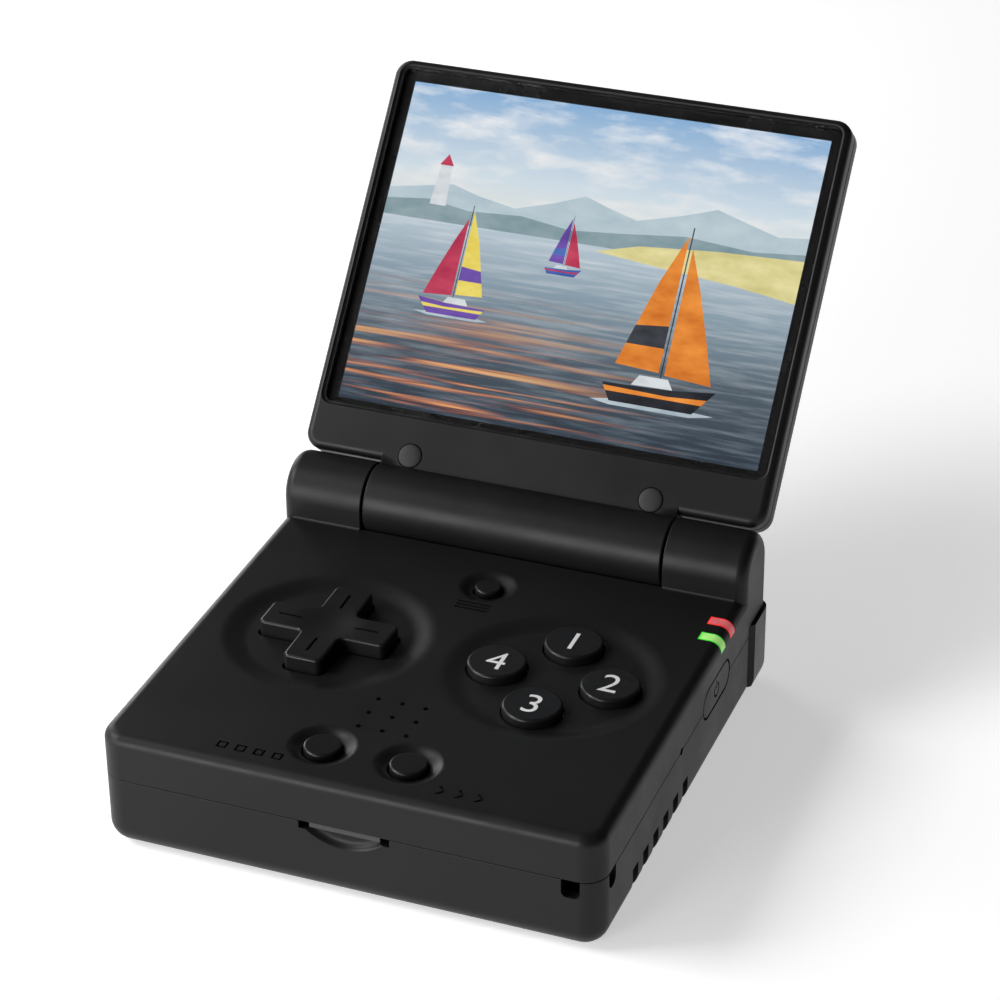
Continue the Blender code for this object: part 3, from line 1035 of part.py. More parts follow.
def lid_bezel(frame):
    """Front frame of the lid with its chin and the middle barrel of the hinge."""
    levels = [(-depth, inset) for depth, inset in fillet_levels(-LID_PARTING, LID_FACE, 0, LID_EDGE_FILLET)]
    bezel = solid("lid_bezel", spread(levels, lid_outline), CASE_PLASTIC, "Y", frame)
    web = rect(-BARREL_HALF, BARREL_HALF, CHIN_WEB_FROM_AXIS, CHIN_WEB_FROM_AXIS + CHIN_WEB_HEIGHT)
    add(bezel, straight(web, -LID_FACE, LID_PARTING), "Y", frame, "chin_web")
    barrel = circle(0, 0, HINGE_RADIUS, HINGE_STEPS)
    add(bezel, straight(barrel, -BARREL_HALF, BARREL_HALF), "X", frame, "barrel")
    bore = circle(0, 0, BARREL_BORE_RADIUS, ROUND_STEPS)
    cut(bezel, straight(bore, -BARREL_HALF - OVERRUN, BARREL_HALF + OVERRUN), "X", frame, "bore")
    radii = (WINDOW_CORNER_RADIUS, WINDOW_CORNER_RADIUS)
    window = rounded_rect(-WINDOW_HALF, WINDOW_HALF, WINDOW_FROM_AXIS, WINDOW_TOP, radii)
    cut(bezel, straight(window, -LID_FACE - OVERRUN, PANEL_FRONT), "Y", frame, "window")
    radii = (PANEL_CORNER_RADIUS + GAP, PANEL_CORNER_RADIUS + GAP)
    ledge = rounded_rect(-LEDGE_HALF, LEDGE_HALF, LEDGE_BOTTOM, LEDGE_TOP, radii, 0, FILLET_STEPS)
    cut(bezel, straight(ledge, -LID_FACE - OVERRUN, LID_PARTING + OVERRUN), "Y", frame, "ledge")
    seat = -LID_FACE + BUMPER_DEPTH + GAP
    head_seat = seat + LID_SCREW_HEAD_HEIGHT + GAP
    for side in (-1, 1):
        place = (side * BUMPER_FROM_CENTRE, BUMPER_FROM_AXIS)
        pad = circle(*place, BUMPER_RADIUS + GAP / 2, SMALL_ROUND_STEPS * 2)
        cut(bezel, straight(pad, -LID_FACE - OVERRUN, seat), "Y", frame, "bumper_seat")
        head = circle(*place, LID_SCREW_HEAD_RADIUS + GAP, SMALL_ROUND_STEPS)
        cut(bezel, straight(head, seat - OVERRUN / 2, head_seat), "Y", frame, "screw_seat")
        shank = circle(*place, LID_SCREW_RADIUS + GAP, SMALL_ROUND_STEPS)
        cut(bezel, straight(shank, head_seat - OVERRUN / 2, LID_PARTING + OVERRUN), "Y", frame, "screw_hole")
    ribbon_slot(bezel, frame)
    return bezel


def ribbon_slot(target, frame):
    """Slot for the display ribbon, through the barrel's wall and the back cover's heel."""
    half = RIBBON_WIDTH / 2 + RIBBON_SLOT_MARGIN
    depth_high = PANEL_BACK + GAP / 2
    depth_low = LID_PARTING + GAP
    slot = rect(-half, half, 0, LID_HEEL + LID_COVER_HEEL + OVERRUN)
    cut(target, straight(slot, depth_low, depth_high), "Y", frame, "ribbon_slot")


def lid_back_cover(frame):
    """Rear shell of the lid."""
    front = LID_PARTING + GAP
    levels = fillet_levels(front, LID_BACK, 0, LID_BACK_FILLET)
    cover = solid("lid_back_cover", spread(levels, lid_outline), CASE_PLASTIC, "Y", frame)
    inner = SIDE - LID_COVER_WALL
    radii = (LID_CORNER_RADIUS - LID_COVER_WALL, LID_CORNER_RADIUS - LID_COVER_WALL)
    cavity = rounded_rect(-inner, inner, LID_HEEL + LID_COVER_HEEL, LID_TOP - LID_COVER_WALL, radii)
    cut(cover, straight(cavity, front - OVERRUN, COVER_INSIDE), "Y", frame, "cavity")
    screw_end = -LID_FACE + BUMPER_DEPTH + LID_SCREW_HEAD_HEIGHT + LID_SCREW_LENGTH + 3 * GAP
    for side in (-1, 1):
        place = (side * BUMPER_FROM_CENTRE, BUMPER_FROM_AXIS)
        thread = circle(*place, LID_SCREW_RADIUS + GAP, SMALL_ROUND_STEPS)
        cut(cover, straight(thread, front - OVERRUN, screw_end), "Y", frame, "screw_hole")
    ribbon_slot(cover, frame)
    return cover


def lid_display(frame):
    """Lens, display panel and the ribbon that leaves it towards the hinge."""
    radii = (WINDOW_CORNER_RADIUS - GAP, WINDOW_CORNER_RADIUS - GAP)
    half = WINDOW_HALF - GAP
    lens = rounded_rect(-half, half, WINDOW_FROM_AXIS + GAP, WINDOW_TOP - GAP, radii)
    solid("screen_lens", straight(lens, LENS_FRONT, LENS_BACK), LENS_GLASS, "Y", frame)
    panel_half = LEDGE_HALF - GAP
    panel_low = LEDGE_BOTTOM + GAP
    radii = (PANEL_CORNER_RADIUS, PANEL_CORNER_RADIUS)
    panel = rounded_rect(-panel_half, panel_half, panel_low, LEDGE_TOP - GAP, radii, 0, FILLET_STEPS)
    solid("display_panel", straight(panel, PANEL_FRONT, PANEL_BACK), DISPLAY_GLASS, "Y", frame)
    ribbon_half = RIBBON_WIDTH / 2
    ribbon = rect(-ribbon_half, ribbon_half, CHIN_WEB_FROM_AXIS, panel_low - GAP)
    ribbon_mid = (LID_PARTING + GAP + PANEL_BACK) / 2
    ribbon_levels = straight(ribbon, *span(ribbon_mid, RIBBON_THICKNESS))
    solid("display_ribbon", ribbon_levels, RUBBER, "Y", frame)


def lid_fixings(frame):
    """Screws through the chin and the rubber bumpers that hide them."""
    for side, word in ((-1, "left"), (1, "right")):
        place = (side * BUMPER_FROM_CENTRE, BUMPER_FROM_AXIS)
        levels = []
        for depth, inset in fillet_levels(-BUMPER_DEPTH, BUMPER_DOME, 0, BUMPER_FILLET):
            levels.append((-LID_FACE - depth, circle(*place, BUMPER_RADIUS - inset, SMALL_ROUND_STEPS * 2)))
        solid("bumper_" + word, levels, RUBBER, "Y", frame)
        head_front = -LID_FACE + BUMPER_DEPTH + GAP
        head_back = head_front + LID_SCREW_HEAD_HEIGHT
        head = circle(*place, LID_SCREW_HEAD_RADIUS, SMALL_ROUND_STEPS)
        shank = circle(*place, LID_SCREW_RADIUS, SMALL_ROUND_STEPS)
        shank_end = head_back + LID_SCREW_LENGTH
        levels = [(head_front, head), (head_back, head), (head_back, shank), (shank_end, shank)]
        screw_body = solid("lid_screw_" + word, levels, DARK_STEEL, "Y", frame)
        drive = circle(*place, DRIVE_RADIUS, SMALL_ROUND_STEPS // 2)
        cut(screw_body, straight(drive, head_front - OVERRUN, head_front + DRIVE_DEPTH), "Y", frame, "drive")


def hinge_parts(frame):
    """Fixed shafts in the knuckles, and the cam sleeves that turn round them in the barrel."""
    shaft_inner = BARREL_HALF - CAM_LENGTH + GAP
    shaft_outer = KNUCKLE_INNER + SHAFT_IN_KNUCKLE
    for side, word in ((-1, "left"), (1, "right")):
        left, right = mirrored(side, shaft_inner, shaft_outer)
        rod = circle(AXIS_Y, AXIS_Z, SHAFT_RADIUS, SMALL_ROUND_STEPS)
        solid("hinge_shaft_" + word, straight(rod, left, right), STEEL, "X")
        left, right = mirrored(side, BARREL_HALF - CAM_LENGTH, BARREL_HALF)
        sleeve = circle(0, 0, BARREL_BORE_RADIUS - GAP, ROUND_STEPS)
        cam = solid("hinge_cam_" + word, straight(sleeve, left, right), STEEL, "X", frame)
        bore = circle(0, 0, SHAFT_RADIUS + GAP, SMALL_ROUND_STEPS * 2)
        cut(cam, straight(bore, left - OVERRUN, right + OVERRUN), "X", frame, "bore")


def build_console():
    """Make every piece at its place, the lid at its rest angle."""
    base_top_case()
    base_bottom_case()
    battery_cover()
    fasteners()
    battery_pack()
    main_board()
    processor_shield()
    speaker()
    face_buttons()
    dpad()
    system_buttons()
    side_keys()
    light_pipes()
    shoulder_buttons()
    card_parts()
    headphone_socket()
    usb_socket()
    lid_frame = bpy.data.objects.new("lid_frame", None)
    bpy.context.scene.collection.objects.link(lid_frame)
    lid_frame.location = HINGE_POINT
    lid_frame.rotation_euler = (-LID_REST_TILT, 0, 0)
    lid_bezel(lid_frame)
    lid_back_cover(lid_frame)
    lid_display(lid_frame)
    lid_fixings(lid_frame)
    hinge_parts(lid_frame)


build_console()
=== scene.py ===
"""Looks of the clamshell handheld game console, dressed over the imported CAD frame.

Metres, in the frame of the CAD: +X to the player's right, +Y to the hinge, +Z up. Lid pieces are
drawn in a lid frame on the hinge axis, whose Z runs up along the lid and whose Y is the depth behind
the axis, and are then turned to the lid's angle.
"""
import json
import math

import bmesh
import bpy
from mathutils import Matrix, Vector

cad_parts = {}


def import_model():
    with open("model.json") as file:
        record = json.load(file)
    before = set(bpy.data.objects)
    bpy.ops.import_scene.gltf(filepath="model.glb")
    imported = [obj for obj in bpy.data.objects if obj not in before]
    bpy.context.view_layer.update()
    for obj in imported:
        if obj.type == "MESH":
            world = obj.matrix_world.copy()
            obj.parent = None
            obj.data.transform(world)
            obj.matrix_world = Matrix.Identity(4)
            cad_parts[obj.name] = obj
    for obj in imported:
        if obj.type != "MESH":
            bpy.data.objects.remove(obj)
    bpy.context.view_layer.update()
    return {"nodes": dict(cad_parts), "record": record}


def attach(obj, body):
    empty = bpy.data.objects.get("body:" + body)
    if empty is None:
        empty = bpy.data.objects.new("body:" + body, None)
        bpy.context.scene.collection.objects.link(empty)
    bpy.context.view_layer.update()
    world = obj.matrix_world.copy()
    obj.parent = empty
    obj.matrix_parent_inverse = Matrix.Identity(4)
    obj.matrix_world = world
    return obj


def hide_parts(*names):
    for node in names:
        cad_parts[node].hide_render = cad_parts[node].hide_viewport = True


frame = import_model()

MM = 0.001

# Base casing
BASE_WIDTH = 78.0 * MM
BASE_DEPTH = 77.75 * MM
DECK_HEIGHT = 19.55 * MM
PARTING_HEIGHT = 11.95 * MM
SEAM = 0.06 * MM             # visible gap between two casings
SEAM_FILLET = 0.12 * MM
FRONT_CORNER_RADIUS = 3.7 * MM
REAR_CORNER_RADIUS = 1.8 * MM
DECK_FILLET = 1.85 * MM
FOOT_FILLET = 3.4 * MM
WALL = 1.8 * MM
FLOOR = 2.0 * MM
CEILING = 17.65 * MM
GAP = 0.3 * MM
OVERRUN = 1.0 * MM
MIN_RADIUS = 0.05 * MM
ROUND_END_SHARE = 0.999      # largest corner radius, as a share of half the outline's width

# Hinge and lid
HINGE_RADIUS = 5.8 * MM
AXIS_Y = 33.075 * MM
AXIS_Z = 22.47 * MM
KNUCKLE_INNER = 25.4 * MM
KNUCKLE_FILLET = 1.8 * MM
KNUCKLE_EDGE = 0.2 * MM
KNUCKLE_SINK = 3.5 * MM
COVE = 0.4 * MM
BARREL_HALF = 25.05 * MM
BARREL_EDGE = 0.25 * MM
BARREL_BORE_RADIUS = 4.2 * MM
TROUGH_RADIUS = 6.2 * MM
TROUGH_WALL = 1.3 * MM
BACK_WALL_DROP = 1.25 * MM
SHAFT_HOLE_RADIUS = 2.3 * MM
LID_TILT = math.radians(40.85)
LID_FACE = 1.9 * MM
LID_BACK = 5.0 * MM
LID_HEEL = 6.12 * MM
LID_TOP = 72.9 * MM
LID_CORNER_RADIUS = 2.8 * MM
LID_EDGE_FILLET = 1.3 * MM
LID_BACK_FILLET = 1.8 * MM
LID_PARTING = 1.3 * MM
LID_COVER_FLOOR = 1.4 * MM
LID_COVER_WALL = 1.6 * MM
LID_COVER_HEEL = 2.6 * MM
WINDOW_HALF = 37.6 * MM
WINDOW_LOW = 13.87 * MM
WINDOW_HIGH = 71.75 * MM
WINDOW_CORNER_RADIUS = 1.6 * MM
WINDOW_BEVEL = 0.35 * MM
LEDGE_WIDTH = 1.3 * MM
LENS_FRONT = -0.5 * MM       # depth in the lid frame
LENS_BACK = 0.2 * MM
LENS_EDGE = 0.12 * MM
LINING_RISE = 1.45 * MM      # lining's front, before the axis plane
LINING_WIDTH = 0.22 * MM
LEDGE_FRONT = 0.5 * MM
PICTURE_HALF = 35.64 * MM
PICTURE_LOW = 15.27 * MM
PICTURE_HIGH = 69.70 * MM
PICTURE_DEPTH = 0.42 * MM
CHIN_WEB_LOW = 2.0 * MM
CHIN_WEB_HIGH = 9.0 * MM
BUMPER_X = 20.37 * MM
BUMPER_HEIGHT = 7.42 * MM
BUMPER_RADIUS = 1.95 * MM
BUMPER_SEAT_RADIUS = 2.08 * MM
BUMPER_DEPTH = 1.0 * MM
BUMPER_SEAT_DEPTH = 1.3 * MM
BUMPER_DOME = 0.35 * MM
RIBBON_SLOT_HALF = 6.6 * MM
RIBBON_SLOT_BACK = 3.45 * MM
SHAFT_HOLE_DEPTH = 11.3 * MM
LID_CAVITY_RADIUS = 1.2 * MM
LEDGE_CORNER_RADIUS = 0.5 * MM
BORDER_PLAY = 0.03 * MM
BUMPER_ROUND_SHARE = 0.92    # of the bumper's radius

# Deck
FACE_PAD = (18.2 * MM, -1.65 * MM)
FACE_REACH = 9.0 * MM
FACE_RADIUS = 4.5 * MM
FACE_HEIGHT = 0.65 * MM
FACE_FILLET = 0.45 * MM
DPAD = (-18.0 * MM, -2.1 * MM)
DPAD_REACH = 10.4 * MM
DPAD_ARM = 6.2 * MM
DPAD_HEIGHT = 1.65 * MM
DPAD_FILLET = 0.5 * MM
DPAD_CORNER = 0.95 * MM
DPAD_SLOT_GAP = 0.4 * MM
DPAD_SCOOP = (0.3 * MM, 6.2 * MM, 0.45 * MM)   # radius of the bottom and of the rim, and depth
DPAD_DASH = (3.9 * MM, 0.45 * MM, 0.4 * MM)   # length, width and depth
DPAD_DASH_REACH = 6.35 * MM
DISH_DEPTH = 0.85 * MM
FACE_DISH = (13.0 * MM, 17.3 * MM)   # radius of the flat bottom and of the rim
DPAD_DISH = (12.4 * MM, 16.7 * MM)
DISH_STEP = 0.008 * MM
MENU_BUTTON = (0.0, 18.455 * MM, 2.1 * MM, 4.7 * MM)
SELECT_BUTTON = (-6.71 * MM, -30.295 * MM, 2.82 * MM, 5.2 * MM)
START_BUTTON = (6.71 * MM, -30.295 * MM, 2.82 * MM, 5.2 * MM)
RECESS_DEPTH = 0.9 * MM
SYSTEM_HEIGHT = 0.15 * MM
SYSTEM_FILLET = 0.4 * MM
BUTTON_GAP = 0.28 * MM
SPEAKER_Y = -20.185 * MM
SPEAKER_PITCH = 3.757 * MM
SPEAKER_HOLE_RADIUS = 0.42 * MM
FLANGE_LOW = 16.35 * MM
DPAD_LOW = 16.0 * MM
GLYPH_SIZE = 6.6 * MM
GLYPH_THICKNESS = 0.02 * MM
GLYPH_WEIGHT = -0.02 * MM
MARK_DEPTH = 0.28 * MM
MARK_WIDTH = 0.42 * MM
MARK_JOIN = 0.04 * MM
MENU_MARK = (-0.13 * MM, 12.3 * MM)
MENU_BAR = (5.6 * MM, 0.85 * MM)    # length and pitch
SELECT_MARK = (-16.0 * MM, -35.1 * MM)
SELECT_SQUARE = (1.6 * MM, 0.95 * MM, 2.9 * MM)   # outer and inner size, and pitch
START_MARK = (16.2 * MM, -34.8 * MM)
START_ARROW = (1.0 * MM, 0.6 * MM, 2.9 * MM)   # half height, stroke and pitch

# Sides
KEY_Z = 12.4 * MM
KEY_LENGTH = 12.7 * MM
KEY_HEIGHT = 4.8 * MM
KEY_GAP = 0.3 * MM
KEY_FILLET = 0.25 * MM
POWER_RING = (1.25 * MM, 0.88 * MM)   # outer and inner radius
POWER_OPENING = math.radians(35)
POWER_BAR = (0.18 * MM, 0.2 * MM, 1.7 * MM, 0.15 * MM)   # half width, low and high end, corner radius
VOLUME_SIGN = (4.2 * MM, 1.8 * MM, 0.4 * MM)   # distance from the middle, length and stroke
VOLUME_STUB = (0.35 * MM, 0.9 * MM, 0.1 * MM)   # near and far end of the plus's upright, corner radius
POWER_Y = 13.525 * MM
VOLUME_Y = 7.125 * MM
RESET_Y = -3.375 * MM
RESET_RADIUS = 0.6 * MM
VENT_COUNT = 6
VENT_FIRST = 14.9 * MM
VENT_PITCH = 4.55 * MM
VENT_WIDTH = 2.4 * MM
VENT_TOP = 5.5 * MM
VENT_INBOARD = 3.8 * MM
LIGHT_Y = (21.075 * MM, 16.475 * MM)
LIGHT_WIDTH = 2.1 * MM
LIGHT_THICKNESS = 1.2 * MM
LIGHT_TOP_LENGTH = 1.95 * MM
LIGHT_SIDE_LENGTH = 0.1 * MM
LIGHT_RIM = 0.26 * MM
LIGHT_PROUD = 0.02 * MM
JACK_Y = -14.85 * MM
JACK_Z = 7.5 * MM
JACK_RADIUS = 2.3 * MM
USB_Z = 11.07 * MM
USB_WIDTH = 9.5 * MM
USB_HEIGHT = 3.8 * MM

# Shoulder buttons
SHOULDER_LENGTH = 18.0 * MM
SHOULDER_POCKET_FRONT = 29.925 * MM
SHOULDER_POCKET_LOW = 1.6 * MM
SHOULDER_POCKET_HIGH = 13.6 * MM
SHOULDER_PROUD = 0.55 * MM
SHOULDER_SWING_GAP = 1.0 * MM
SHOULDER_CHAMFER = 0.8 * MM
SHOULDER_END_GAP = 0.5 * MM
SHOULDER_FILLET = 0.3 * MM

# Front slot and lanyard passage
SLOT_HALF = 7.05 * MM
SLOT_HEIGHT = 1.25 * MM
THUMB_RADIUS = 9.4 * MM
THUMB_DROP = 3.25 * MM
THUMB_DEPTH = 1.0 * MM
THUMB_TAPER = 1.2 * MM
THUMB_CURVE = 1.7
LANYARD_X = 33.0 * MM
LANYARD_WIDTH = 2.8 * MM
LANYARD_NEAR = -35.475 * MM
LANYARD_FLOOR = 9.0 * MM
LANYARD_BAR = 3.1 * MM

# Underside
BOSSES = [(31.5 * MM, -26.875 * MM), (-31.5 * MM, -26.875 * MM), (31.5 * MM, 19.125 * MM),
          (-31.5 * MM, 19.125 * MM)]
SCREW_HEAD_HOLE = 2.1 * MM
SCREW_SHANK_HOLE = 1.2 * MM
SCREW_SEAT = 5.7 * MM
BOSS_RADIUS = 3.1 * MM
UNDER_BOARD = 12.7 * MM
COVER_HALF = 24.15 * MM
COVER_LOW = -17.025 * MM
COVER_HIGH = 23.275 * MM
COVER_RADIUS = 2.1 * MM
COVER_SEAT = 1.75 * MM
BAY_MARGIN = 2.3 * MM
BAY_FRONT_MARGIN = 6.0 * MM

# How finely round forms are cut
CORNER_STEPS = 14
FILLET_STEPS = 9
ROUND_STEPS = 64
SMALL_STEPS = 24
DISH_STEPS = 96
DISH_RINGS = 16
LIGHT_STEPS = 20
RECESS_RINGS = 12
COVE_STEPS = 8
THUMB_RINGS = 8
BUMPER_RINGS = 12
POWER_STEPS = 22
SPOT_STEPS = 16
PASSAGE_STEPS = 6
EDGE_STEPS = 5
TRIM_STEPS = 4
BLOCK_STEPS = 3
OPENING_STEPS = 2
SHARP_ANGLE = math.radians(30)

SIDE = BASE_WIDTH / 2
FRONT = -BASE_DEPTH / 2
BACK = BASE_DEPTH / 2
LID_FRAME = Matrix.Translation((0, AXIS_Y, AXIS_Z)) @ Matrix.Rotation(-LID_TILT, 4, "X")


# Shapes

def rounded_rect(left, right, low, high, radii, inset=0.0, steps=CORNER_STEPS):
    """Outline of a rectangle, drawn in by inset. radii: the low corners' and the high corners'."""
    left, right = left + inset, right - inset
    low, high = low + inset, high - inset
    limit = min(right - left, high - low) / 2 * ROUND_END_SHARE
    low_radius = min(max(radii[0] - inset, MIN_RADIUS), limit)
    high_radius = min(max(radii[1] - inset, MIN_RADIUS), limit)
    corners = (
        (right - low_radius, low + low_radius, low_radius),
        (right - high_radius, high - high_radius, high_radius),
        (left + high_radius, high - high_radius, high_radius),
        (left + low_radius, low + low_radius, low_radius),
    )
    points = []
    for quarter, (centre_a, centre_b, radius) in enumerate(corners):
        for step in range(steps + 1):
            angle = math.pi / 2 * (quarter - 1 + step / steps)
            points.append((centre_a + radius * math.cos(angle), centre_b + radius * math.sin(angle)))
    return points


def rect(left, right, low, high):
    """Outline of a plain rectangle."""
    return [(left, low), (right, low), (right, high), (left, high)]


def circle(centre_a, centre_b, radius, steps=ROUND_STEPS):
    """Outline of a circle."""
    turns = [2 * math.pi * step / steps for step in range(steps)]
    return [(centre_a + radius * math.cos(t), centre_b + radius * math.sin(t)) for t in turns]


def stadium(centre_a, centre_b, length, height, inset=0.0, steps=CORNER_STEPS):
    """Outline of a bar with round ends."""
    half_length, half_height = length / 2, height / 2
    return rounded_rect(centre_a - half_length, centre_a + half_length, centre_b - half_height,
                        centre_b + half_height, (half_height, half_height), inset, steps)


def cross(centre, reach, width, outer, inner, steps=EDGE_STEPS):
    """Outline of a plus whose arm ends have a radius and whose inner corners have another."""
    half = width / 2
    turns = [math.pi / 2 * step / steps for step in range(steps + 1)]
    start = [t - math.pi / 2 for t in turns]
    arm = [(reach - outer + outer * math.cos(t), -half + outer + outer * math.sin(t)) for t in start]
    arm += [(reach - outer + outer * math.cos(t), half - outer + outer * math.sin(t)) for t in turns]
    arm += [(half + inner - inner * math.sin(t), half + inner - inner * math.cos(t)) for t in turns]
    points = []
    for cos, sin in ((1, 0), (0, 1), (-1, 0), (0, -1)):
        points += [(centre[0] + a * cos - b * sin, centre[1] + a * sin + b * cos) for a, b in arm]
    return points


def fillet_levels(low, high, low_fillet=0.0, high_fillet=0.0, steps=FILLET_STEPS):
    """Levels of a body with rounded ends, each as (height, inset)."""
    turns = [math.pi / 2 * step / steps for step in range(steps + 1)]
    levels = [(low, 0.0)]
    if low_fillet:
        levels = [(low + low_fillet * (1 - math.cos(t)), low_fillet * (1 - math.sin(t))) for t in turns]
    if not high_fillet:
        return levels + [(high, 0.0)]
    for t in turns:
        levels.append((high - high_fillet * (1 - math.sin(t)), high_fillet * (1 - math.cos(t))))
    return levels


def spread(levels, outline):
    """Levels as (height, outline), from levels of (height, inset) and an outline function."""
    return [(height, outline(inset)) for height, inset in levels]


def straight(outline, low, high):
    """Levels of a plain prism."""
    return [(low, outline), (high, outline)]


def in_scene(name, data):
    """A new object of the scene with the given data."""
    made = bpy.data.objects.new(name, data)
    bpy.context.scene.collection.objects.link(made)
    return made


def body(name, levels, along="Z", lid=False):
    """Closed body through a stack of outlines of equal point counts, capped at both ends.

    An outline's coordinates are (X, Y) along Z, (Y, Z) along X, and (X, Z) along Y.
    """
    mesh = bmesh.new()
    rings = []
    for height, outline in levels:
        ring = []
        for a, b in outline:
            place = {"Z": (a, b, height), "X": (height, a, b), "Y": (a, height, b)}[along]
            ring.append(mesh.verts.new(place))
        rings.append(ring)
    for lower, upper in zip(rings, rings[1:]):
        for index in range(len(lower)):
            following = (index + 1) % len(lower)
            mesh.faces.new((lower[index], lower[following], upper[following], upper[index]))
    mesh.faces.new(reversed(rings[0]))
    mesh.faces.new(rings[-1])
    bmesh.ops.recalc_face_normals(mesh, faces=mesh.faces)
    data = bpy.data.meshes.new(name)
    mesh.to_mesh(data)
    mesh.free()
    if lid:
        data.transform(LID_FRAME)
    return in_scene(name, data)


def combine(target, operation, *tools):
    """Apply one exact Boolean of tools that don't touch each other, and remove them."""
    merged = bmesh.new()
    for tool in tools:
        merged.from_mesh(tool.data)
    tool = tools[0]
    merged.to_mesh(tool.data)
    merged.free()
    step = target.modifiers.new("combine", "BOOLEAN")
    step.operation = operation
    step.solver = "EXACT"
    step.object = tool
    graph = bpy.context.evaluated_depsgraph_get()
    result = bpy.data.meshes.new_from_object(target.evaluated_get(graph))
    target.modifiers.clear()
    target.data = result
    for tool in tools:
        bpy.data.objects.remove(tool)


def cut(target, *tools):
    """Take tools out of the target."""
    combine(target, "DIFFERENCE", *tools)


def prism(outline, low, high, along="Z", lid=False, name="tool"):
    """Closed body of one outline between two heights."""
    return body(name, straight(outline, low, high), along, lid)


def dress(piece, look, ride, nodes=()):
    """Shade a finished piece, give it its material and tie it to its body and its nodes."""
    piece.data.materials.clear()
    piece.data.materials.append(look)
    piece.data.shade_smooth()
    piece.data.set_sharp_from_angle(angle=SHARP_ANGLE)
    weighted = piece.modifiers.new("weighted", "WEIGHTED_NORMAL")
    weighted.keep_sharp = True
    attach(piece, ride)
    if nodes:
        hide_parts(*nodes)
    return piece


def span(centre, width):
    """Low and high end of a width about its centre."""
    return centre - width / 2, centre + width / 2


def mirrored(side, near, far):
    """Low and high X of a stretch given by its distances from the middle, on one side."""
    return (near, far) if side > 0 else (-far, -near)


# Materials

class Shading:
    """Nodes of a material or the world, added one by one."""

    def __init__(self, owner):
        owner.use_nodes = True
        self.owner, self.tree = owner, owner.node_tree

    def feed(self, node, inputs):
        """Set a node's inputs, each from a value or from another node's output."""
        for name, value in inputs.items():
            if isinstance(value, bpy.types.NodeSocket):
                self.tree.links.new(value, node.inputs[name])
            else:
                node.inputs[name].default_value = value

    def add(self, kind, output, inputs=None, **settings):
        """One output of a new node."""
        made = self.tree.nodes.new("ShaderNode" + kind)
        for name, value in settings.items():
            setattr(made, name, value)
        self.feed(made, inputs or {})
        return made.outputs[output]

    def noise(self, vector, scale, detail=3.0, roughness=0.5):
        """A noise over coordinates."""
        inputs = {"Vector": vector, "Scale": scale, "Detail": detail, "Roughness": roughness}
        return self.add("TexNoise", "Fac", inputs)

    def remap(self, value, low, high, start=0.3, stop=0.7):
        """A factor spread from low to high."""
        inputs = {"Value": value, "From Min": start, "From Max": stop, "To Min": low, "To Max": high}
        return self.add("MapRange", "Result", inputs)

    def mix(self, factor, first, second):
        """A colour between two, by a factor."""
        return self.add("Mix", "Result", {"Factor": factor, "A": first, "B": second}, data_type="RGBA")

    def math(self, operation, first, second):
        """Two factors taken together."""
        return self.add("Math", "Value", {0: first, 1: second}, operation=operation)

    def ramp(self, value, stops):
        """A colour from a factor, by stops of (position, colour)."""
        colour = self.add("ValToRGB", "Color", {"Fac": value})
        elements = colour.node.color_ramp.elements
        while len(elements) < len(stops):
            elements.new(0.5)
        for element, (position, shade) in zip(elements, stops):
            element.position = position
            element.color = (*shade, 1)
        return colour

    def shade(self, inputs):
        """Feed the material's shader, and return the finished material."""
        self.feed(self.tree.nodes["Principled BSDF"], inputs)
        return self.owner


def new_look(name):
    """A new material to add nodes to."""
    return Shading(bpy.data.materials.new(name))


def moulded(name, dark, light, roughness, grain=0.3, grain_depth=0.004, specular=0.5, metallic=0.0,
            coat=0.0):
    """Moulded surface: fine grain, cloudy gloss and faint colour drift. grain is in millimetres."""
    look = new_look(name)
    vector = look.add("TexCoord", "Object")
    drift = look.remap(look.noise(vector, 45.0, 4.0), 0.0, 1.0)
    smudge = look.noise(vector, 120.0, 5.0, 0.6)
    height = look.noise(vector, 1.0 / (grain * MM), 2.0)
    bump = look.add("Bump", "Normal", {"Strength": 0.5, "Distance": grain_depth * MM, "Height": height})
    return look.shade({
        "Base Color": look.mix(drift, (*dark, 1), (*light, 1)), "Normal": bump, "Metallic": metallic,
        "Roughness": look.remap(smudge, roughness - 0.04, roughness + 0.05),
        "Specular IOR Level": specular, "Coat Weight": coat})


CASE = moulded("case_black", (0.0070, 0.0070, 0.0073), (0.0092, 0.0092, 0.0095), 0.42, specular=0.22)
BUTTON = moulded("button_black", (0.0065, 0.0065, 0.0068), (0.0085, 0.0085, 0.0088), 0.34, specular=0.28)
RUBBER = moulded("rubber_grey", (0.017, 0.017, 0.018), (0.022, 0.022, 0.023), 0.6, grain=0.2, specular=0.3)
SILICONE = moulded("silicone_grey", (0.36, 0.36, 0.34), (0.42, 0.42, 0.40), 0.6)
INNER = moulded("inner_black", (0.03, 0.03, 0.03), (0.04, 0.04, 0.04), 0.5)
BOARD = moulded("board_green", (0.012, 0.09, 0.04), (0.02, 0.13, 0.06), 0.4, coat=0.4)
STEEL = moulded("pressed_steel", (0.42, 0.42, 0.43), (0.5, 0.5, 0.51), 0.3, metallic=1.0)
DARK_STEEL = moulded("black_steel", (0.05, 0.05, 0.05), (0.08, 0.08, 0.08), 0.38, metallic=1.0)
CELL = moulded("cell_wrap", (0.06, 0.10, 0.22), (0.08, 0.13, 0.28), 0.35)
PRINT = moulded("white_print", (0.78, 0.78, 0.78), (0.86, 0.86, 0.86), 0.45)
# Black print of the glass's border. The same black also dresses the sleeve on the window's inner wall, which
# is painted shade.
BORDER_PRINT_AND_SHADE = moulded("border_print_and_shade", (0.002, 0.002, 0.002), (0.003, 0.003, 0.003), 0.25)


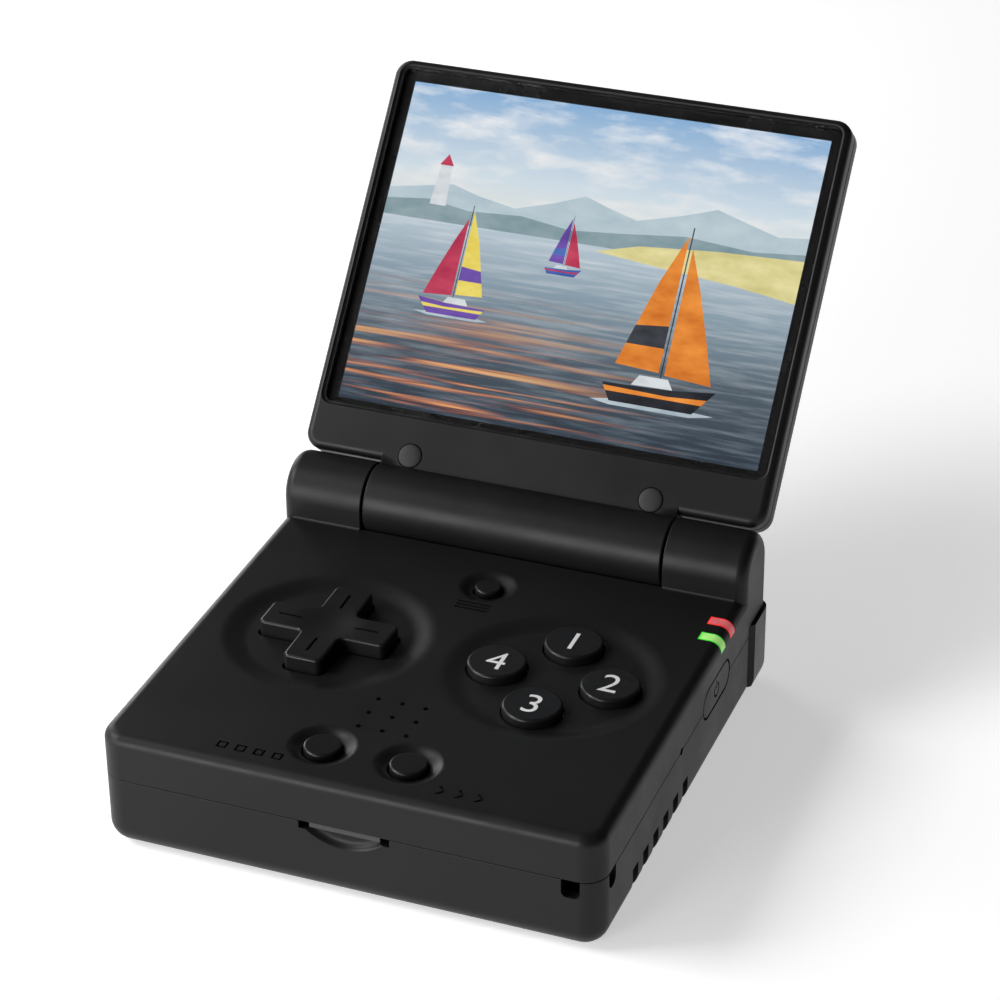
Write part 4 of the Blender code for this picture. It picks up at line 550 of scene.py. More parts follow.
def light_plastic(name, colour, strength):
    """Tinted light pipe that glows faintly, cloudier in places."""
    look = new_look(name)
    drift = look.remap(look.noise(look.add("TexCoord", "Object"), 700.0), 0.0, 1.0)
    paler = [min(channel * 1.15 + 0.03, 1.0) for channel in colour]
    mixed = look.mix(drift, (*colour, 1), (*paler, 1))
    return look.shade({"Base Color": mixed, "Emission Color": mixed, "Emission Strength": strength,
                       "Roughness": 0.35})


RED_RIM = light_plastic("red_rim", (0.75, 0.015, 0.015), 0.6)
RED_CORE = light_plastic("red_core", (0.48, 0.085, 0.10), 0.6)
GREEN_RIM = light_plastic("green_rim", (0.04, 0.60, 0.03), 0.5)
GREEN_CORE = light_plastic("green_core", (0.29, 0.60, 0.15), 0.6)


def lens_glass():
    """Clear cover glass with faint smears."""
    look = new_look("cover_glass")
    smear = look.noise(look.add("TexCoord", "Object"), 60.0, 5.0, 0.6)
    return look.shade({"Roughness": look.remap(smear, 0.015, 0.05), "Base Color": (1, 1, 1, 1),
                       "Transmission Weight": 1.0, "IOR": 1.45})


GLASS = lens_glass()

CAD_LOOKS = {
    "case_plastic": CASE, "button_plastic": BUTTON, "soft_rubber": RUBBER,
    "membrane_rubber": SILICONE, "lens_glass": GLASS, "display_glass": INNER,
    "board_laminate": BOARD, "steel": STEEL, "dark_steel": DARK_STEEL, "cell_wrap": CELL,
    "inner_plastic": INNER, "red_light_plastic": RED_CORE, "green_light_plastic": GREEN_CORE,
}
for part in frame["record"]["subparts"]:
    node = frame["nodes"][part["node"]]
    node.data.materials.clear()
    node.data.materials.append(CAD_LOOKS[part["material_slot"]])


# Base

def case_outline(inset=0.0):
    """The base's outline seen from above."""
    radii = (FRONT_CORNER_RADIUS, REAR_CORNER_RADIUS)
    return rounded_rect(-SIDE, SIDE, FRONT, BACK, radii, inset)


def tombstone(inset=0.0):
    """Knuckle profile in Y and Z: flat front and back walls under a half round."""
    radius = HINGE_RADIUS - inset
    root = DECK_HEIGHT - KNUCKLE_SINK
    points = [(AXIS_Y - radius, root), (AXIS_Y + radius, root)]
    half_steps = ROUND_STEPS // 2
    for step in range(half_steps + 1):
        angle = math.pi * step / half_steps
        points.append((AXIS_Y + radius * math.cos(angle), AXIS_Z + radius * math.sin(angle)))
    return points


def knuckle_cove(side):
    """Small hollow fillet between the deck and a knuckle's front."""
    wall = AXIS_Y - HINGE_RADIUS
    profile = [(wall + COVE, DECK_HEIGHT - COVE), (wall + COVE, DECK_HEIGHT + COVE)]
    for step in range(COVE_STEPS + 1):
        angle = math.pi / 2 * step / COVE_STEPS
        profile.append((wall - COVE * (1 - math.cos(angle)), DECK_HEIGHT + COVE * (1 - math.sin(angle))))
    profile.append((wall - COVE, DECK_HEIGHT - COVE))
    near, far = KNUCKLE_INNER + KNUCKLE_EDGE, SIDE - KNUCKLE_FILLET
    return prism(profile, *mirrored(side, near, far), "X")


def bowl(centre, top, bottom, rim, depth):
    """Tool for a shallow round hollow that runs out smoothly into a flat top."""
    levels = [(top + OVERRUN, circle(*centre, rim, DISH_STEPS))]
    for step in range(DISH_RINGS + 1):
        share = step / DISH_RINGS
        drop = depth * (1 - math.cos(math.pi * share)) / 2
        radius = rim + (bottom - rim) * share
        levels.append((top - DISH_STEP - drop, circle(*centre, radius, DISH_STEPS)))
    return body("bowl", levels[::-1])


def funnel(x, y, radius, rim):
    """Tool for a round recess that narrows in a curve to the hole for its button."""
    hole = radius + BUTTON_GAP
    levels = [(CEILING - OVERRUN, circle(x, y, hole)),
              (DECK_HEIGHT - RECESS_DEPTH - BUTTON_GAP, circle(x, y, hole))]
    for step in range(RECESS_RINGS + 1):
        share = step / RECESS_RINGS
        drop = RECESS_DEPTH * (math.cos(math.pi * share) + 1) / 2
        levels.append((DECK_HEIGHT - DISH_STEP - drop, circle(x, y, hole + SEAM + (rim - hole) * share)))
    levels.append((DECK_HEIGHT + OVERRUN, circle(x, y, rim + SEAM)))
    return body("funnel", levels)


def side_openings():
    """Tools for the openings that the parting line crosses."""
    power = stadium(POWER_Y, KEY_Z, KEY_LENGTH + 2 * KEY_GAP, KEY_HEIGHT + 2 * KEY_GAP)
    volume = stadium(VOLUME_Y, KEY_Z, KEY_LENGTH + 2 * KEY_GAP, KEY_HEIGHT + 2 * KEY_GAP)
    reset = circle(RESET_Y, PARTING_HEIGHT, RESET_RADIUS, SMALL_STEPS)
    socket = stadium(0, USB_Z, USB_WIDTH, USB_HEIGHT)
    tools = [
        prism(power, SIDE - WALL - OVERRUN, SIDE + OVERRUN, "X"),
        prism(volume, -SIDE - OVERRUN, -SIDE + WALL + OVERRUN, "X"),
        prism(reset, SIDE - WALL - OVERRUN, SIDE + OVERRUN, "X"),
        prism(socket, BACK - WALL - OVERRUN, BACK + OVERRUN, "Y"),
    ]
    for side in (-1, 1):
        left, right = mirrored(side, SIDE - SHOULDER_LENGTH, SIDE + OVERRUN)
        outline = rect(left, right, SHOULDER_POCKET_FRONT, BACK + OVERRUN)
        tools.append(prism(outline, SHOULDER_POCKET_LOW, SHOULDER_POCKET_HIGH))
    return tools


def mark(outline):
    """Tool for one sign engraved in the deck."""
    return prism(outline, DECK_HEIGHT - MARK_DEPTH, DECK_HEIGHT + OVERRUN)


def square_sign(x, y):
    """Tools for a square frame, as four bars that don't touch."""
    outer, inner, _ = SELECT_SQUARE
    middle, stroke = (outer + inner) / 4, (outer - inner) / 2
    tools = []
    for side in (-1, 1):
        tools.append(mark(rect(*span(x + side * middle, stroke), *span(y, outer))))
        tools.append(mark(rect(*span(x, inner - MARK_JOIN), *span(y + side * middle, stroke))))
    return tools


def deck_marks():
    """Tools for the plain engraved signs beside the three small buttons."""
    tools = []
    x, y = MENU_MARK
    length, pitch = MENU_BAR
    for row in (-1, 0, 1):
        tools.append(mark(stadium(x, y + row * pitch, length, MARK_WIDTH, 0, TRIM_STEPS)))
    x, y = SELECT_MARK
    for column in (-1.5, -0.5, 0.5, 1.5):
        tools += square_sign(x + column * SELECT_SQUARE[2], y)
    x, y = START_MARK
    half, stroke, pitch = START_ARROW
    for column in (-1, 0, 1):
        tip = x + column * pitch + half / 2
        tools.append(mark([(tip - half, y - half), (tip - half + stroke, y - half), (tip + stroke, y),
                           (tip - half + stroke, y + half), (tip - half, y + half), (tip, y)]))
    return tools


def top_case():
    """Deck, upper walls and the outer knuckles."""
    levels = fillet_levels(PARTING_HEIGHT + SEAM / 2, DECK_HEIGHT, SEAM_FILLET, DECK_FILLET)
    case = body("top_case", spread(levels, case_outline))
    knuckles = []
    for side in (-1, 1):
        ends = fillet_levels(KNUCKLE_INNER, SIDE, KNUCKLE_EDGE, KNUCKLE_FILLET)
        profile = [(side * height, tombstone(inset)) for height, inset in ends]
        knuckles.append(body("knuckle", profile, "X"))
    combine(case, "UNION", *knuckles)
    combine(case, "UNION", *[knuckle_cove(side) for side in (-1, 1)])
    trough = circle(AXIS_Y, AXIS_Z, TROUGH_RADIUS, DISH_STEPS)
    cut(case, prism(trough, -KNUCKLE_INNER, KNUCKLE_INNER, "X"))
    behind = rect(AXIS_Y, BACK + OVERRUN, DECK_HEIGHT - BACK_WALL_DROP, AXIS_Z)
    cut(case, prism(behind, -KNUCKLE_INNER, KNUCKLE_INNER, "X"))
    inner = SIDE - WALL
    corner = FRONT_CORNER_RADIUS - WALL
    trough_front = AXIS_Y - TROUGH_RADIUS - TROUGH_WALL
    low = PARTING_HEIGHT - OVERRUN
    main = rounded_rect(-inner, inner, FRONT + WALL, trough_front, (corner, corner))
    cut(case, prism(main, low, CEILING))
    rear = rounded_rect(-inner, inner, FACE_PAD[1], BACK - WALL, (corner, MIN_RADIUS))
    cut(case, prism(rear, low, AXIS_Z - TROUGH_RADIUS - TROUGH_WALL))
    cut(case, bowl(FACE_PAD, DECK_HEIGHT, *FACE_DISH, DISH_DEPTH),
        bowl(DPAD, DECK_HEIGHT, *DPAD_DISH, DISH_DEPTH))
    cut(case, *[funnel(*place) for place in (MENU_BUTTON, SELECT_BUTTON, START_BUTTON)])
    holes = []
    for x, y in face_places().values():
        hole = circle(x, y, FACE_RADIUS + BUTTON_GAP)
        holes.append(prism(hole, CEILING - OVERRUN, DECK_HEIGHT + OVERRUN))
    slot = cross(DPAD, DPAD_REACH + DPAD_SLOT_GAP, DPAD_ARM + 2 * DPAD_SLOT_GAP,
                 DPAD_CORNER + DPAD_SLOT_GAP, DPAD_CORNER - DPAD_SLOT_GAP)
    holes.append(prism(slot, CEILING - OVERRUN, DECK_HEIGHT + OVERRUN))
    for column in (-1, 0, 1):
        for row in (-1, 0, 1):
            spot_y = SPEAKER_Y + row * SPEAKER_PITCH
            spot = circle(column * SPEAKER_PITCH, spot_y, SPEAKER_HOLE_RADIUS, SPOT_STEPS)
            holes.append(prism(spot, CEILING - OVERRUN, DECK_HEIGHT + OVERRUN))
    cut(case, *holes, *deck_marks())
    cut(case, *side_openings())
    for side in (-1, 1):
        low, high = mirrored(side, KNUCKLE_INNER - OVERRUN, KNUCKLE_INNER + SHAFT_HOLE_DEPTH)
        bore = circle(AXIS_Y, AXIS_Z, SHAFT_HOLE_RADIUS, SMALL_STEPS)
        cut(case, prism(bore, low, high, "X"))
    cut(case, *[light_band("slot", y, SEAM, OVERRUN) for y in LIGHT_Y])
    return dress(case, CASE, "base", ["base_top_case"])


def light_band(name, y, grow=0.0, proud=0.0):
    """Band of even width that wraps over the deck's edge from the top to the side."""
    centre_x, centre_z = SIDE - DECK_FILLET, DECK_HEIGHT - DECK_FILLET
    outer, inner = DECK_FILLET + proud, DECK_FILLET - LIGHT_THICKNESS - abs(grow)
    top_end = centre_x - LIGHT_TOP_LENGTH - grow
    side_end = centre_z - LIGHT_SIDE_LENGTH - grow
    turns = [math.pi / 2 * step / LIGHT_STEPS for step in range(LIGHT_STEPS + 1)]
    points = [(centre_x + outer, side_end)]
    points += [(centre_x + outer * math.cos(t), centre_z + outer * math.sin(t)) for t in turns]
    points += [(top_end, centre_z + outer), (top_end, centre_z + inner)]
    points += [(centre_x + inner * math.cos(t), centre_z + inner * math.sin(t)) for t in reversed(turns)]
    points += [(centre_x + inner, side_end)]
    low, high = span(y, LIGHT_WIDTH + 2 * grow)
    return body(name, straight(points, low, high), "Y")


def bottom_case():
    """Tray with the vents, the card slot, the lanyard bar and the battery bay."""
    levels = fillet_levels(0, PARTING_HEIGHT - SEAM / 2, FOOT_FILLET, SEAM_FILLET)
    case = body("bottom_case", spread(levels, case_outline))
    inner = SIDE - WALL
    corner = FRONT_CORNER_RADIUS - WALL
    cavity = rounded_rect(-inner, inner, FRONT + WALL, BACK - WALL, (corner, MIN_RADIUS))
    cut(case, prism(cavity, FLOOR, PARTING_HEIGHT + OVERRUN))
    near = WALL - GAP
    bar = rect(SIDE - LANYARD_BAR, SIDE - near, FRONT + near, FRONT + LANYARD_BAR)
    columns = [prism(bar, FLOOR - GAP, PARTING_HEIGHT - SEAM)]
    for x, y in BOSSES:
        columns.append(prism(circle(x, y, BOSS_RADIUS, SMALL_STEPS), FLOOR / 2, UNDER_BOARD))
    combine(case, "UNION", *columns)
    tools = []
    for x, y in BOSSES:
        head, shank = circle(x, y, SCREW_HEAD_HOLE, SMALL_STEPS), circle(x, y, SCREW_SHANK_HOLE, SMALL_STEPS)
        mouth = circle(x, y, SCREW_HEAD_HOLE + GAP, SMALL_STEPS)
        tools.append(body("screw_hole", [(-OVERRUN, mouth), (0, mouth), (GAP, head), (SCREW_SEAT, head),
                                         (SCREW_SEAT, shank), (UNDER_BOARD + OVERRUN, shank)]))
    radii = (COVER_RADIUS, COVER_RADIUS)
    opening = rounded_rect(-COVER_HALF, COVER_HALF, COVER_LOW, COVER_HIGH, radii)
    tools.append(prism(opening, -OVERRUN, COVER_SEAT))
    bay_half = COVER_HALF - BAY_MARGIN
    bay = rect(-bay_half, bay_half, COVER_LOW + BAY_FRONT_MARGIN, COVER_HIGH - BAY_MARGIN)
    cut(case, *tools)
    cut(case, prism(bay, COVER_SEAT - GAP, FLOOR + OVERRUN))
    cut(case, *side_openings())
    vents = []
    for index in range(VENT_COUNT):
        low, high = span(FRONT + VENT_FIRST + index * VENT_PITCH, VENT_WIDTH)
        vents.append(prism(rect(SIDE - VENT_INBOARD, SIDE + OVERRUN, low, high), -OVERRUN, VENT_TOP))
    cut(case, *vents)
    slot = rect(-SLOT_HALF, SLOT_HALF, PARTING_HEIGHT - SLOT_HEIGHT, PARTING_HEIGHT + OVERRUN)
    cut(case, prism(slot, FRONT - OVERRUN, FRONT + WALL + OVERRUN, "Y"))
    thumb_z = PARTING_HEIGHT - THUMB_DROP + THUMB_RADIUS
    thumb = [(FRONT - OVERRUN, circle(0, thumb_z, THUMB_RADIUS + GAP, DISH_STEPS)),
             (FRONT, circle(0, thumb_z, THUMB_RADIUS + GAP / 2, DISH_STEPS))]
    for step in range(1, THUMB_RINGS + 1):
        share = step / THUMB_RINGS
        radius = THUMB_RADIUS - THUMB_TAPER * share ** THUMB_CURVE
        depth = THUMB_DEPTH * math.sin(share * math.pi / 2)
        thumb.append((FRONT + depth, circle(0, thumb_z, radius, DISH_STEPS)))
    cut(case, body("thumb", thumb, "Y"))
    right, far = LANYARD_X + LANYARD_WIDTH, LANYARD_NEAR + LANYARD_WIDTH
    top = PARTING_HEIGHT + OVERRUN
    front_passage = rounded_rect(LANYARD_X, right, LANYARD_FLOOR, top + 2 * OVERRUN, (GAP * 3, GAP), 0,
                                 PASSAGE_STEPS)
    cut(case, prism(front_passage, FRONT - OVERRUN, far, "Y"))
    side_passage = rounded_rect(LANYARD_NEAR, far, LANYARD_FLOOR, top + 2 * OVERRUN, (GAP * 4, GAP), 0,
                                PASSAGE_STEPS)
    cut(case, prism(side_passage, right - GAP, SIDE + OVERRUN, "X"))
    jack = circle(JACK_Y, JACK_Z, JACK_RADIUS, SMALL_STEPS)
    cut(case, prism(jack, -SIDE - OVERRUN, -SIDE + WALL + OVERRUN, "X"))
    return dress(case, CASE, "base", ["base_bottom_case"])


# Controls

def face_places():
    """Centres of the four face buttons."""
    x, y = FACE_PAD
    return {"top": (x, y + FACE_REACH), "right": (x + FACE_REACH, y), "bottom": (x, y - FACE_REACH),
            "left": (x - FACE_REACH, y)}


def face_buttons():
    """Round buttons with white numbers."""
    numbers = {"top": "1", "right": "2", "bottom": "3", "left": "4"}
    top = DECK_HEIGHT + FACE_HEIGHT
    for word, (x, y) in face_places().items():
        name = "face_button_" + word
        levels = fillet_levels(FLANGE_LOW, top, 0, FACE_FILLET)
        cap = body(name + "_cap", spread(levels, lambda inset: circle(x, y, FACE_RADIUS - inset)))
        dress(cap, BUTTON, name, [name])
        glyph = bpy.data.curves.new(name + "_number", "FONT")
        glyph.body = numbers[word]
        glyph.size = GLYPH_SIZE
        glyph.align_x = "CENTER"
        glyph.align_y = "CENTER"
        glyph.extrude = GLYPH_THICKNESS
        glyph.offset = GLYPH_WEIGHT
        text = in_scene(name + "_text", glyph)
        graph = bpy.context.evaluated_depsgraph_get()
        mesh = bpy.data.meshes.new_from_object(text.evaluated_get(graph))
        bpy.data.objects.remove(text)
        spots = [corner.co for corner in mesh.vertices]
        mid_x = (min(s.x for s in spots) + max(s.x for s in spots)) / 2
        mid_y = (min(s.y for s in spots) + max(s.y for s in spots)) / 2
        mesh.transform(Matrix.Translation((x - mid_x, y - mid_y, top)))
        number = in_scene(name + "_number", mesh)
        dress(number, PRINT, name, [])


def dpad():
    """Directional pad with a dash on each arm and a scoop in its middle."""
    top = DECK_HEIGHT + DPAD_HEIGHT

    def outline(inset):
        outer = max(DPAD_CORNER - inset, MIN_RADIUS)
        return cross(DPAD, DPAD_REACH - inset, DPAD_ARM - 2 * inset, outer, DPAD_CORNER + inset)

    pad = body("dpad_cap", spread(fillet_levels(DPAD_LOW, top, 0, DPAD_FILLET), outline))
    length, width, depth = DPAD_DASH
    dashes = []
    for turn_x, turn_y in ((1, 0), (-1, 0), (0, 1), (0, -1)):
        centre_x, centre_y = DPAD[0] + turn_x * DPAD_DASH_REACH, DPAD[1] + turn_y * DPAD_DASH_REACH
        size_x, size_y = (length, width) if turn_x else (width, length)
        ends = (width / 2, width / 2)
        dash = rounded_rect(*span(centre_x, size_x), *span(centre_y, size_y), ends, 0, TRIM_STEPS)
        dashes.append(prism(dash, top - depth, top + OVERRUN))
    cut(pad, *dashes)
    cut(pad, bowl(DPAD, top, *DPAD_SCOOP))
    dress(pad, BUTTON, "dpad", ["dpad"])


def system_buttons():
    """Menu, select and start caps."""
    places = {"menu_button": MENU_BUTTON, "select_button": SELECT_BUTTON, "start_button": START_BUTTON}
    for name, (x, y, radius, _) in places.items():
        levels = fillet_levels(FLANGE_LOW, DECK_HEIGHT + SYSTEM_HEIGHT, 0, SYSTEM_FILLET)
        cap = body(name + "_cap", spread(levels, lambda inset: circle(x, y, radius - inset)))
        dress(cap, BUTTON, name, [name])


def side_keys():
    """Power key and volume rocker, with their signs."""
    for name, side, y, signs in (("power_button", 1, POWER_Y, power_sign(POWER_Y)),
                                 ("volume_rocker", -1, VOLUME_Y, volume_sign(VOLUME_Y))):
        levels = fillet_levels(SIDE - WALL - GAP, SIDE, 0, KEY_FILLET, EDGE_STEPS)
        outlines = spread(levels, lambda inset: stadium(y, KEY_Z, KEY_LENGTH, KEY_HEIGHT, inset))
        key = body(name + "_cap", [(side * height, outline) for height, outline in outlines], "X")
        cut(key, *[prism(sign, side * (SIDE - MARK_DEPTH), side * (SIDE + OVERRUN), "X") for sign in signs])
        dress(key, CASE, name, [name])


def power_sign(y):
    """Outlines of an open ring and a bar."""
    sweep = 2 * (math.pi - POWER_OPENING)
    turns = [math.pi / 2 + POWER_OPENING + sweep * step / POWER_STEPS for step in range(POWER_STEPS + 1)]
    ring = []
    for radius, path in zip(POWER_RING, (turns, turns[::-1])):
        ring += [(y + radius * math.cos(t), KEY_Z + radius * math.sin(t)) for t in path]
    half, low, high, corner = POWER_BAR
    bar = rounded_rect(y - half, y + half, KEY_Z + low, KEY_Z + high, (corner, corner), 0, TRIM_STEPS)
    return [ring, bar]


def volume_sign(y):
    """Outlines of a minus and a plus."""
    reach, length, stroke = VOLUME_SIGN
    near, far, corner = VOLUME_STUB
    bars = [stadium(y + offset, KEY_Z, length, stroke, 0, TRIM_STEPS) for offset in (-reach, reach)]
    for low, high in ((near, far), (-far, -near)):
        bars.append(rounded_rect(*span(y + reach, stroke), KEY_Z + low, KEY_Z + high, (corner, corner), 0,
                                 TRIM_STEPS))
    return bars


def shoulder_buttons():
    """Corner buttons with a bevelled front edge."""
    low, high = SHOULDER_POCKET_LOW + GAP, SHOULDER_POCKET_HIGH - GAP
    front = SHOULDER_POCKET_FRONT + SHOULDER_SWING_GAP
    inner = SIDE - SHOULDER_LENGTH + SHOULDER_END_GAP
    outer = SIDE + SHOULDER_PROUD
    for side, word in ((-1, "left"), (1, "right")):
        name = "shoulder_button_" + word
        form_levels = fillet_levels(-SHOULDER_PROUD, SHOULDER_POCKET_HIGH, FOOT_FILLET + SHOULDER_PROUD, 0)
        button = body(name + "_cap", spread(form_levels, lambda inset: case_outline(inset - SHOULDER_PROUD)))
        left, right = mirrored(side, inner, outer + OVERRUN)
        back = BACK + SHOULDER_PROUD + OVERRUN
        levels = fillet_levels(low, high, 0, SHOULDER_FILLET, BLOCK_STEPS)
        block = body("block", spread(levels, lambda inset: rounded_rect(left, right, front, back, (GAP, GAP),
                                                                        inset, BLOCK_STEPS)))
        combine(button, "INTERSECT", block)
        reach = SHOULDER_CHAMFER + OVERRUN
        bevel = [(side * (outer + OVERRUN), front - OVERRUN), (side * (outer + OVERRUN), front + reach),
                 (side * (outer - reach), front - OVERRUN)]
        cut(button, prism(bevel, low - OVERRUN, high + OVERRUN))
        dress(button, BUTTON, name, [name])


def light_pipes():
    """Red and green bands, each with a strong rim round a paler core."""
    looks = (("red", RED_RIM, RED_CORE), ("green", GREEN_RIM, GREEN_CORE))
    for y, (word, rim, core) in zip(LIGHT_Y, looks):
        dress(light_band(word + "_light_rim", y), rim, "base", [word + "_light_pipe"])
        dress(light_band(word + "_light_core", y, -LIGHT_RIM, LIGHT_PROUD), core, "base", [])


# Lid

def lid_outline(inset=0.0):
    """The lid's outline in X and lid height."""
    radii = (LID_CORNER_RADIUS, LID_CORNER_RADIUS)
    return rounded_rect(-SIDE, SIDE, LID_HEEL, LID_TOP, radii, inset)


def lid_bezel():
    """Front frame with the chin and the middle barrel."""
    levels = [(-depth, inset) for depth, inset in fillet_levels(-LID_PARTING, LID_FACE, SEAM_FILLET * 2,
                                                                LID_EDGE_FILLET)]
    bezel = body("bezel", spread(levels, lid_outline), "Y", True)
    web = rect(-BARREL_HALF, BARREL_HALF, CHIN_WEB_LOW, CHIN_WEB_HIGH)
    combine(bezel, "UNION", prism(web, -LID_FACE, LID_PARTING, "Y", True))
    ends = fillet_levels(-BARREL_HALF, BARREL_HALF, BARREL_EDGE, BARREL_EDGE, TRIM_STEPS)
    barrel = spread(ends, lambda inset: circle(0, 0, HINGE_RADIUS - inset, DISH_STEPS))
    combine(bezel, "UNION", body("barrel", barrel, "X", True))
    bore = circle(0, 0, BARREL_BORE_RADIUS, ROUND_STEPS)
    cut(bezel, prism(bore, -BARREL_HALF - OVERRUN, BARREL_HALF + OVERRUN, "X", True))

    def window(inset):
        return rounded_rect(-WINDOW_HALF, WINDOW_HALF, WINDOW_LOW, WINDOW_HIGH,
                            (WINDOW_CORNER_RADIUS, WINDOW_CORNER_RADIUS), inset)

    levels = [(-LID_FACE - OVERRUN, window(-WINDOW_BEVEL)), (-LID_FACE, window(-WINDOW_BEVEL))]
    for step in range(1, EDGE_STEPS + 1):
        angle = math.pi / 2 * step / EDGE_STEPS
        levels.append((-LID_FACE + WINDOW_BEVEL * math.sin(angle), window(-WINDOW_BEVEL * math.cos(angle))))
    levels.append((LEDGE_FRONT, window(0)))
    cut(bezel, body("window", levels, "Y", True))
    ledge_half = WINDOW_HALF - LEDGE_WIDTH
    ledge = rounded_rect(-ledge_half, ledge_half, WINDOW_LOW + LEDGE_WIDTH, WINDOW_HIGH - LEDGE_WIDTH,
                         (LEDGE_CORNER_RADIUS, LEDGE_CORNER_RADIUS))
    cut(bezel, prism(ledge, -LID_FACE - OVERRUN, LID_PARTING + OVERRUN, "Y", True))
    seats = []
    for side in (-1, 1):
        pad = circle(side * BUMPER_X, BUMPER_HEIGHT, BUMPER_SEAT_RADIUS, ROUND_STEPS)
        seats.append(prism(pad, -LID_FACE - OVERRUN, -LID_FACE + BUMPER_SEAT_DEPTH, "Y", True))
    cut(bezel, *seats)
    slot = rect(-RIBBON_SLOT_HALF, RIBBON_SLOT_HALF, 0, LID_HEEL + LID_COVER_HEEL + OVERRUN)
    cut(bezel, prism(slot, LID_PARTING + GAP, RIBBON_SLOT_BACK, "Y", True))
    dress(bezel, CASE, "lid", ["lid_bezel"])


def lid_back_cover():
    """Rear shell of the lid."""
    front = LID_PARTING + SEAM
    levels = fillet_levels(front, LID_BACK, SEAM_FILLET * 2, LID_BACK_FILLET)
    cover = body("back_cover", spread(levels, lid_outline), "Y", True)
    inner = SIDE - LID_COVER_WALL
    cavity = rounded_rect(-inner, inner, LID_HEEL + LID_COVER_HEEL, LID_TOP - LID_COVER_WALL,
                          (LID_CAVITY_RADIUS, LID_CAVITY_RADIUS))
    cut(cover, prism(cavity, front - OVERRUN, LID_BACK - LID_COVER_FLOOR, "Y", True))
    slot = rect(-RIBBON_SLOT_HALF, RIBBON_SLOT_HALF, 0, LID_HEEL + LID_COVER_HEEL + OVERRUN)
    cut(cover, prism(slot, LID_PARTING + GAP, RIBBON_SLOT_BACK, "Y", True))
    dress(cover, CASE, "lid", ["lid_back_cover"])


def bumpers():
    """Slightly domed rubber discs in the chin."""
    for side, word in ((-1, "left"), (1, "right")):
        name = "bumper_" + word
        levels = []
        for step in range(BUMPER_RINGS + 1):
            share = step / BUMPER_RINGS
            rise = BUMPER_DOME * math.sin(share * math.pi / 2)
            inset = BUMPER_RADIUS * BUMPER_ROUND_SHARE * (1 - math.cos(share * math.pi / 2))
            levels.append((-LID_FACE - rise, circle(side * BUMPER_X, BUMPER_HEIGHT, BUMPER_RADIUS - inset)))
        levels.insert(0, (-LID_FACE + BUMPER_DEPTH, levels[0][1]))
        dress(body(name + "_disc", levels, "Y", True), RUBBER, "lid", [name])


def screen():
    """Cover glass, its black border, and a black sleeve of painted shade on the window's inner wall."""
    half = WINDOW_HALF - SEAM
    radii = (WINDOW_CORNER_RADIUS - SEAM, WINDOW_CORNER_RADIUS - SEAM)

    def plate(inset):
        return rounded_rect(-half, half, WINDOW_LOW + SEAM, WINDOW_HIGH - SEAM, radii, inset)

    edge = fillet_levels(-LENS_BACK, -LENS_FRONT, 0, LENS_EDGE, TRIM_STEPS)
    levels = [(-depth, inset) for depth, inset in edge]
    dress(body("lens", spread(levels, plate), "Y", True), GLASS, "lid", ["screen_lens"])
    border = prism(plate(GAP / 2), LENS_BACK + BORDER_PLAY, LEDGE_FRONT - BORDER_PLAY, "Y", True,
                   "lens_border")
    opening = rounded_rect(-PICTURE_HALF, PICTURE_HALF, PICTURE_LOW, PICTURE_HIGH, (MIN_RADIUS, MIN_RADIUS),
                           steps=OPENING_STEPS)
    cut(border, prism(opening, -OVERRUN, OVERRUN * 2, "Y", True))
    dress(border, BORDER_PRINT_AND_SHADE, "lid", [])
    # Black sleeve over the window's inner wall in front of the glass: painted shade of that recess wall, not
    # a real part.
    lining = prism(plate(-SEAM / 2), -LINING_RISE, LENS_FRONT - SEAM, "Y", True, "lens_shade_lining")
    cut(lining, prism(plate(LINING_WIDTH), -LID_FACE, LENS_BACK, "Y", True))
    dress(lining, BORDER_PRINT_AND_SHADE, "lid", [])


top_case()
bottom_case()
face_buttons()
dpad()
system_buttons()
side_keys()
shoulder_buttons()
light_pipes()
lid_bezel()
lid_back_cover()
bumpers()
screen()


# Screen picture: sailing boats on a lake below hills

HORIZON = 0.60               # heights and widths here are shares of the picture's
PICTURE_LAYER = 0.02 * MM
HORIZON_BLUR = 0.002
SAIL_WIDTH = 0.62
HILLS = (
    ((0.0, 0.58), (0.0, 0.665), (0.07, 0.68), (0.15, 0.70), (0.22, 0.675), (0.31, 0.655), (0.40, 0.69),
     (0.47, 0.725), (0.53, 0.70), (0.60, 0.675), (0.70, 0.71), (0.78, 0.745), (0.86, 0.715), (0.93, 0.69),
     (1.0, 0.70), (1.0, 0.58)),
    ((0.0, 0.58), (0.0, 0.63), (0.10, 0.645), (0.20, 0.625), (0.33, 0.635), (0.45, 0.615), (0.58, 0.63),
     (0.72, 0.65), (0.88, 0.635), (1.0, 0.65), (1.0, 0.58)),
)
SHORE = ((0.52, 0.565), (0.62, 0.60), (0.80, 0.62), (1.0, 0.63), (1.0, 0.50), (0.86, 0.525), (0.68, 0.545))
TOWER = ((0.105, 0.63), (0.112, 0.76), (0.138, 0.76), (0.145, 0.63))
TOWER_CAP = ((0.108, 0.755), (0.125, 0.79), (0.142, 0.755))
HULL = ((-0.52, 0.10), (-0.42, 0.0), (0.36, 0.0), (0.54, 0.14), (0.10, 0.11))
STRIPE = ((-0.505, 0.085), (-0.475, 0.055), (0.43, 0.055), (0.475, 0.09), (0.10, 0.075))
CABIN = ((-0.25, 0.11), (-0.19, 0.17), (0.08, 0.17), (0.14, 0.115))
MAST = ((0.0, 0.11), (0.0, 1.05), (0.012, 1.05), (0.012, 0.11))
MAIN_SAIL = ((-0.02, 0.20), (-0.44, 0.215), (-0.33, 0.45), (-0.20, 0.72), (-0.02, 1.0))
MAIN_BAND = ((-0.02, 0.34), (-0.382, 0.34), (-0.33, 0.45), (-0.02, 0.47))
FORE_SAIL = ((0.035, 0.19), (0.48, 0.17), (0.36, 0.40), (0.20, 0.68), (0.035, 0.93))
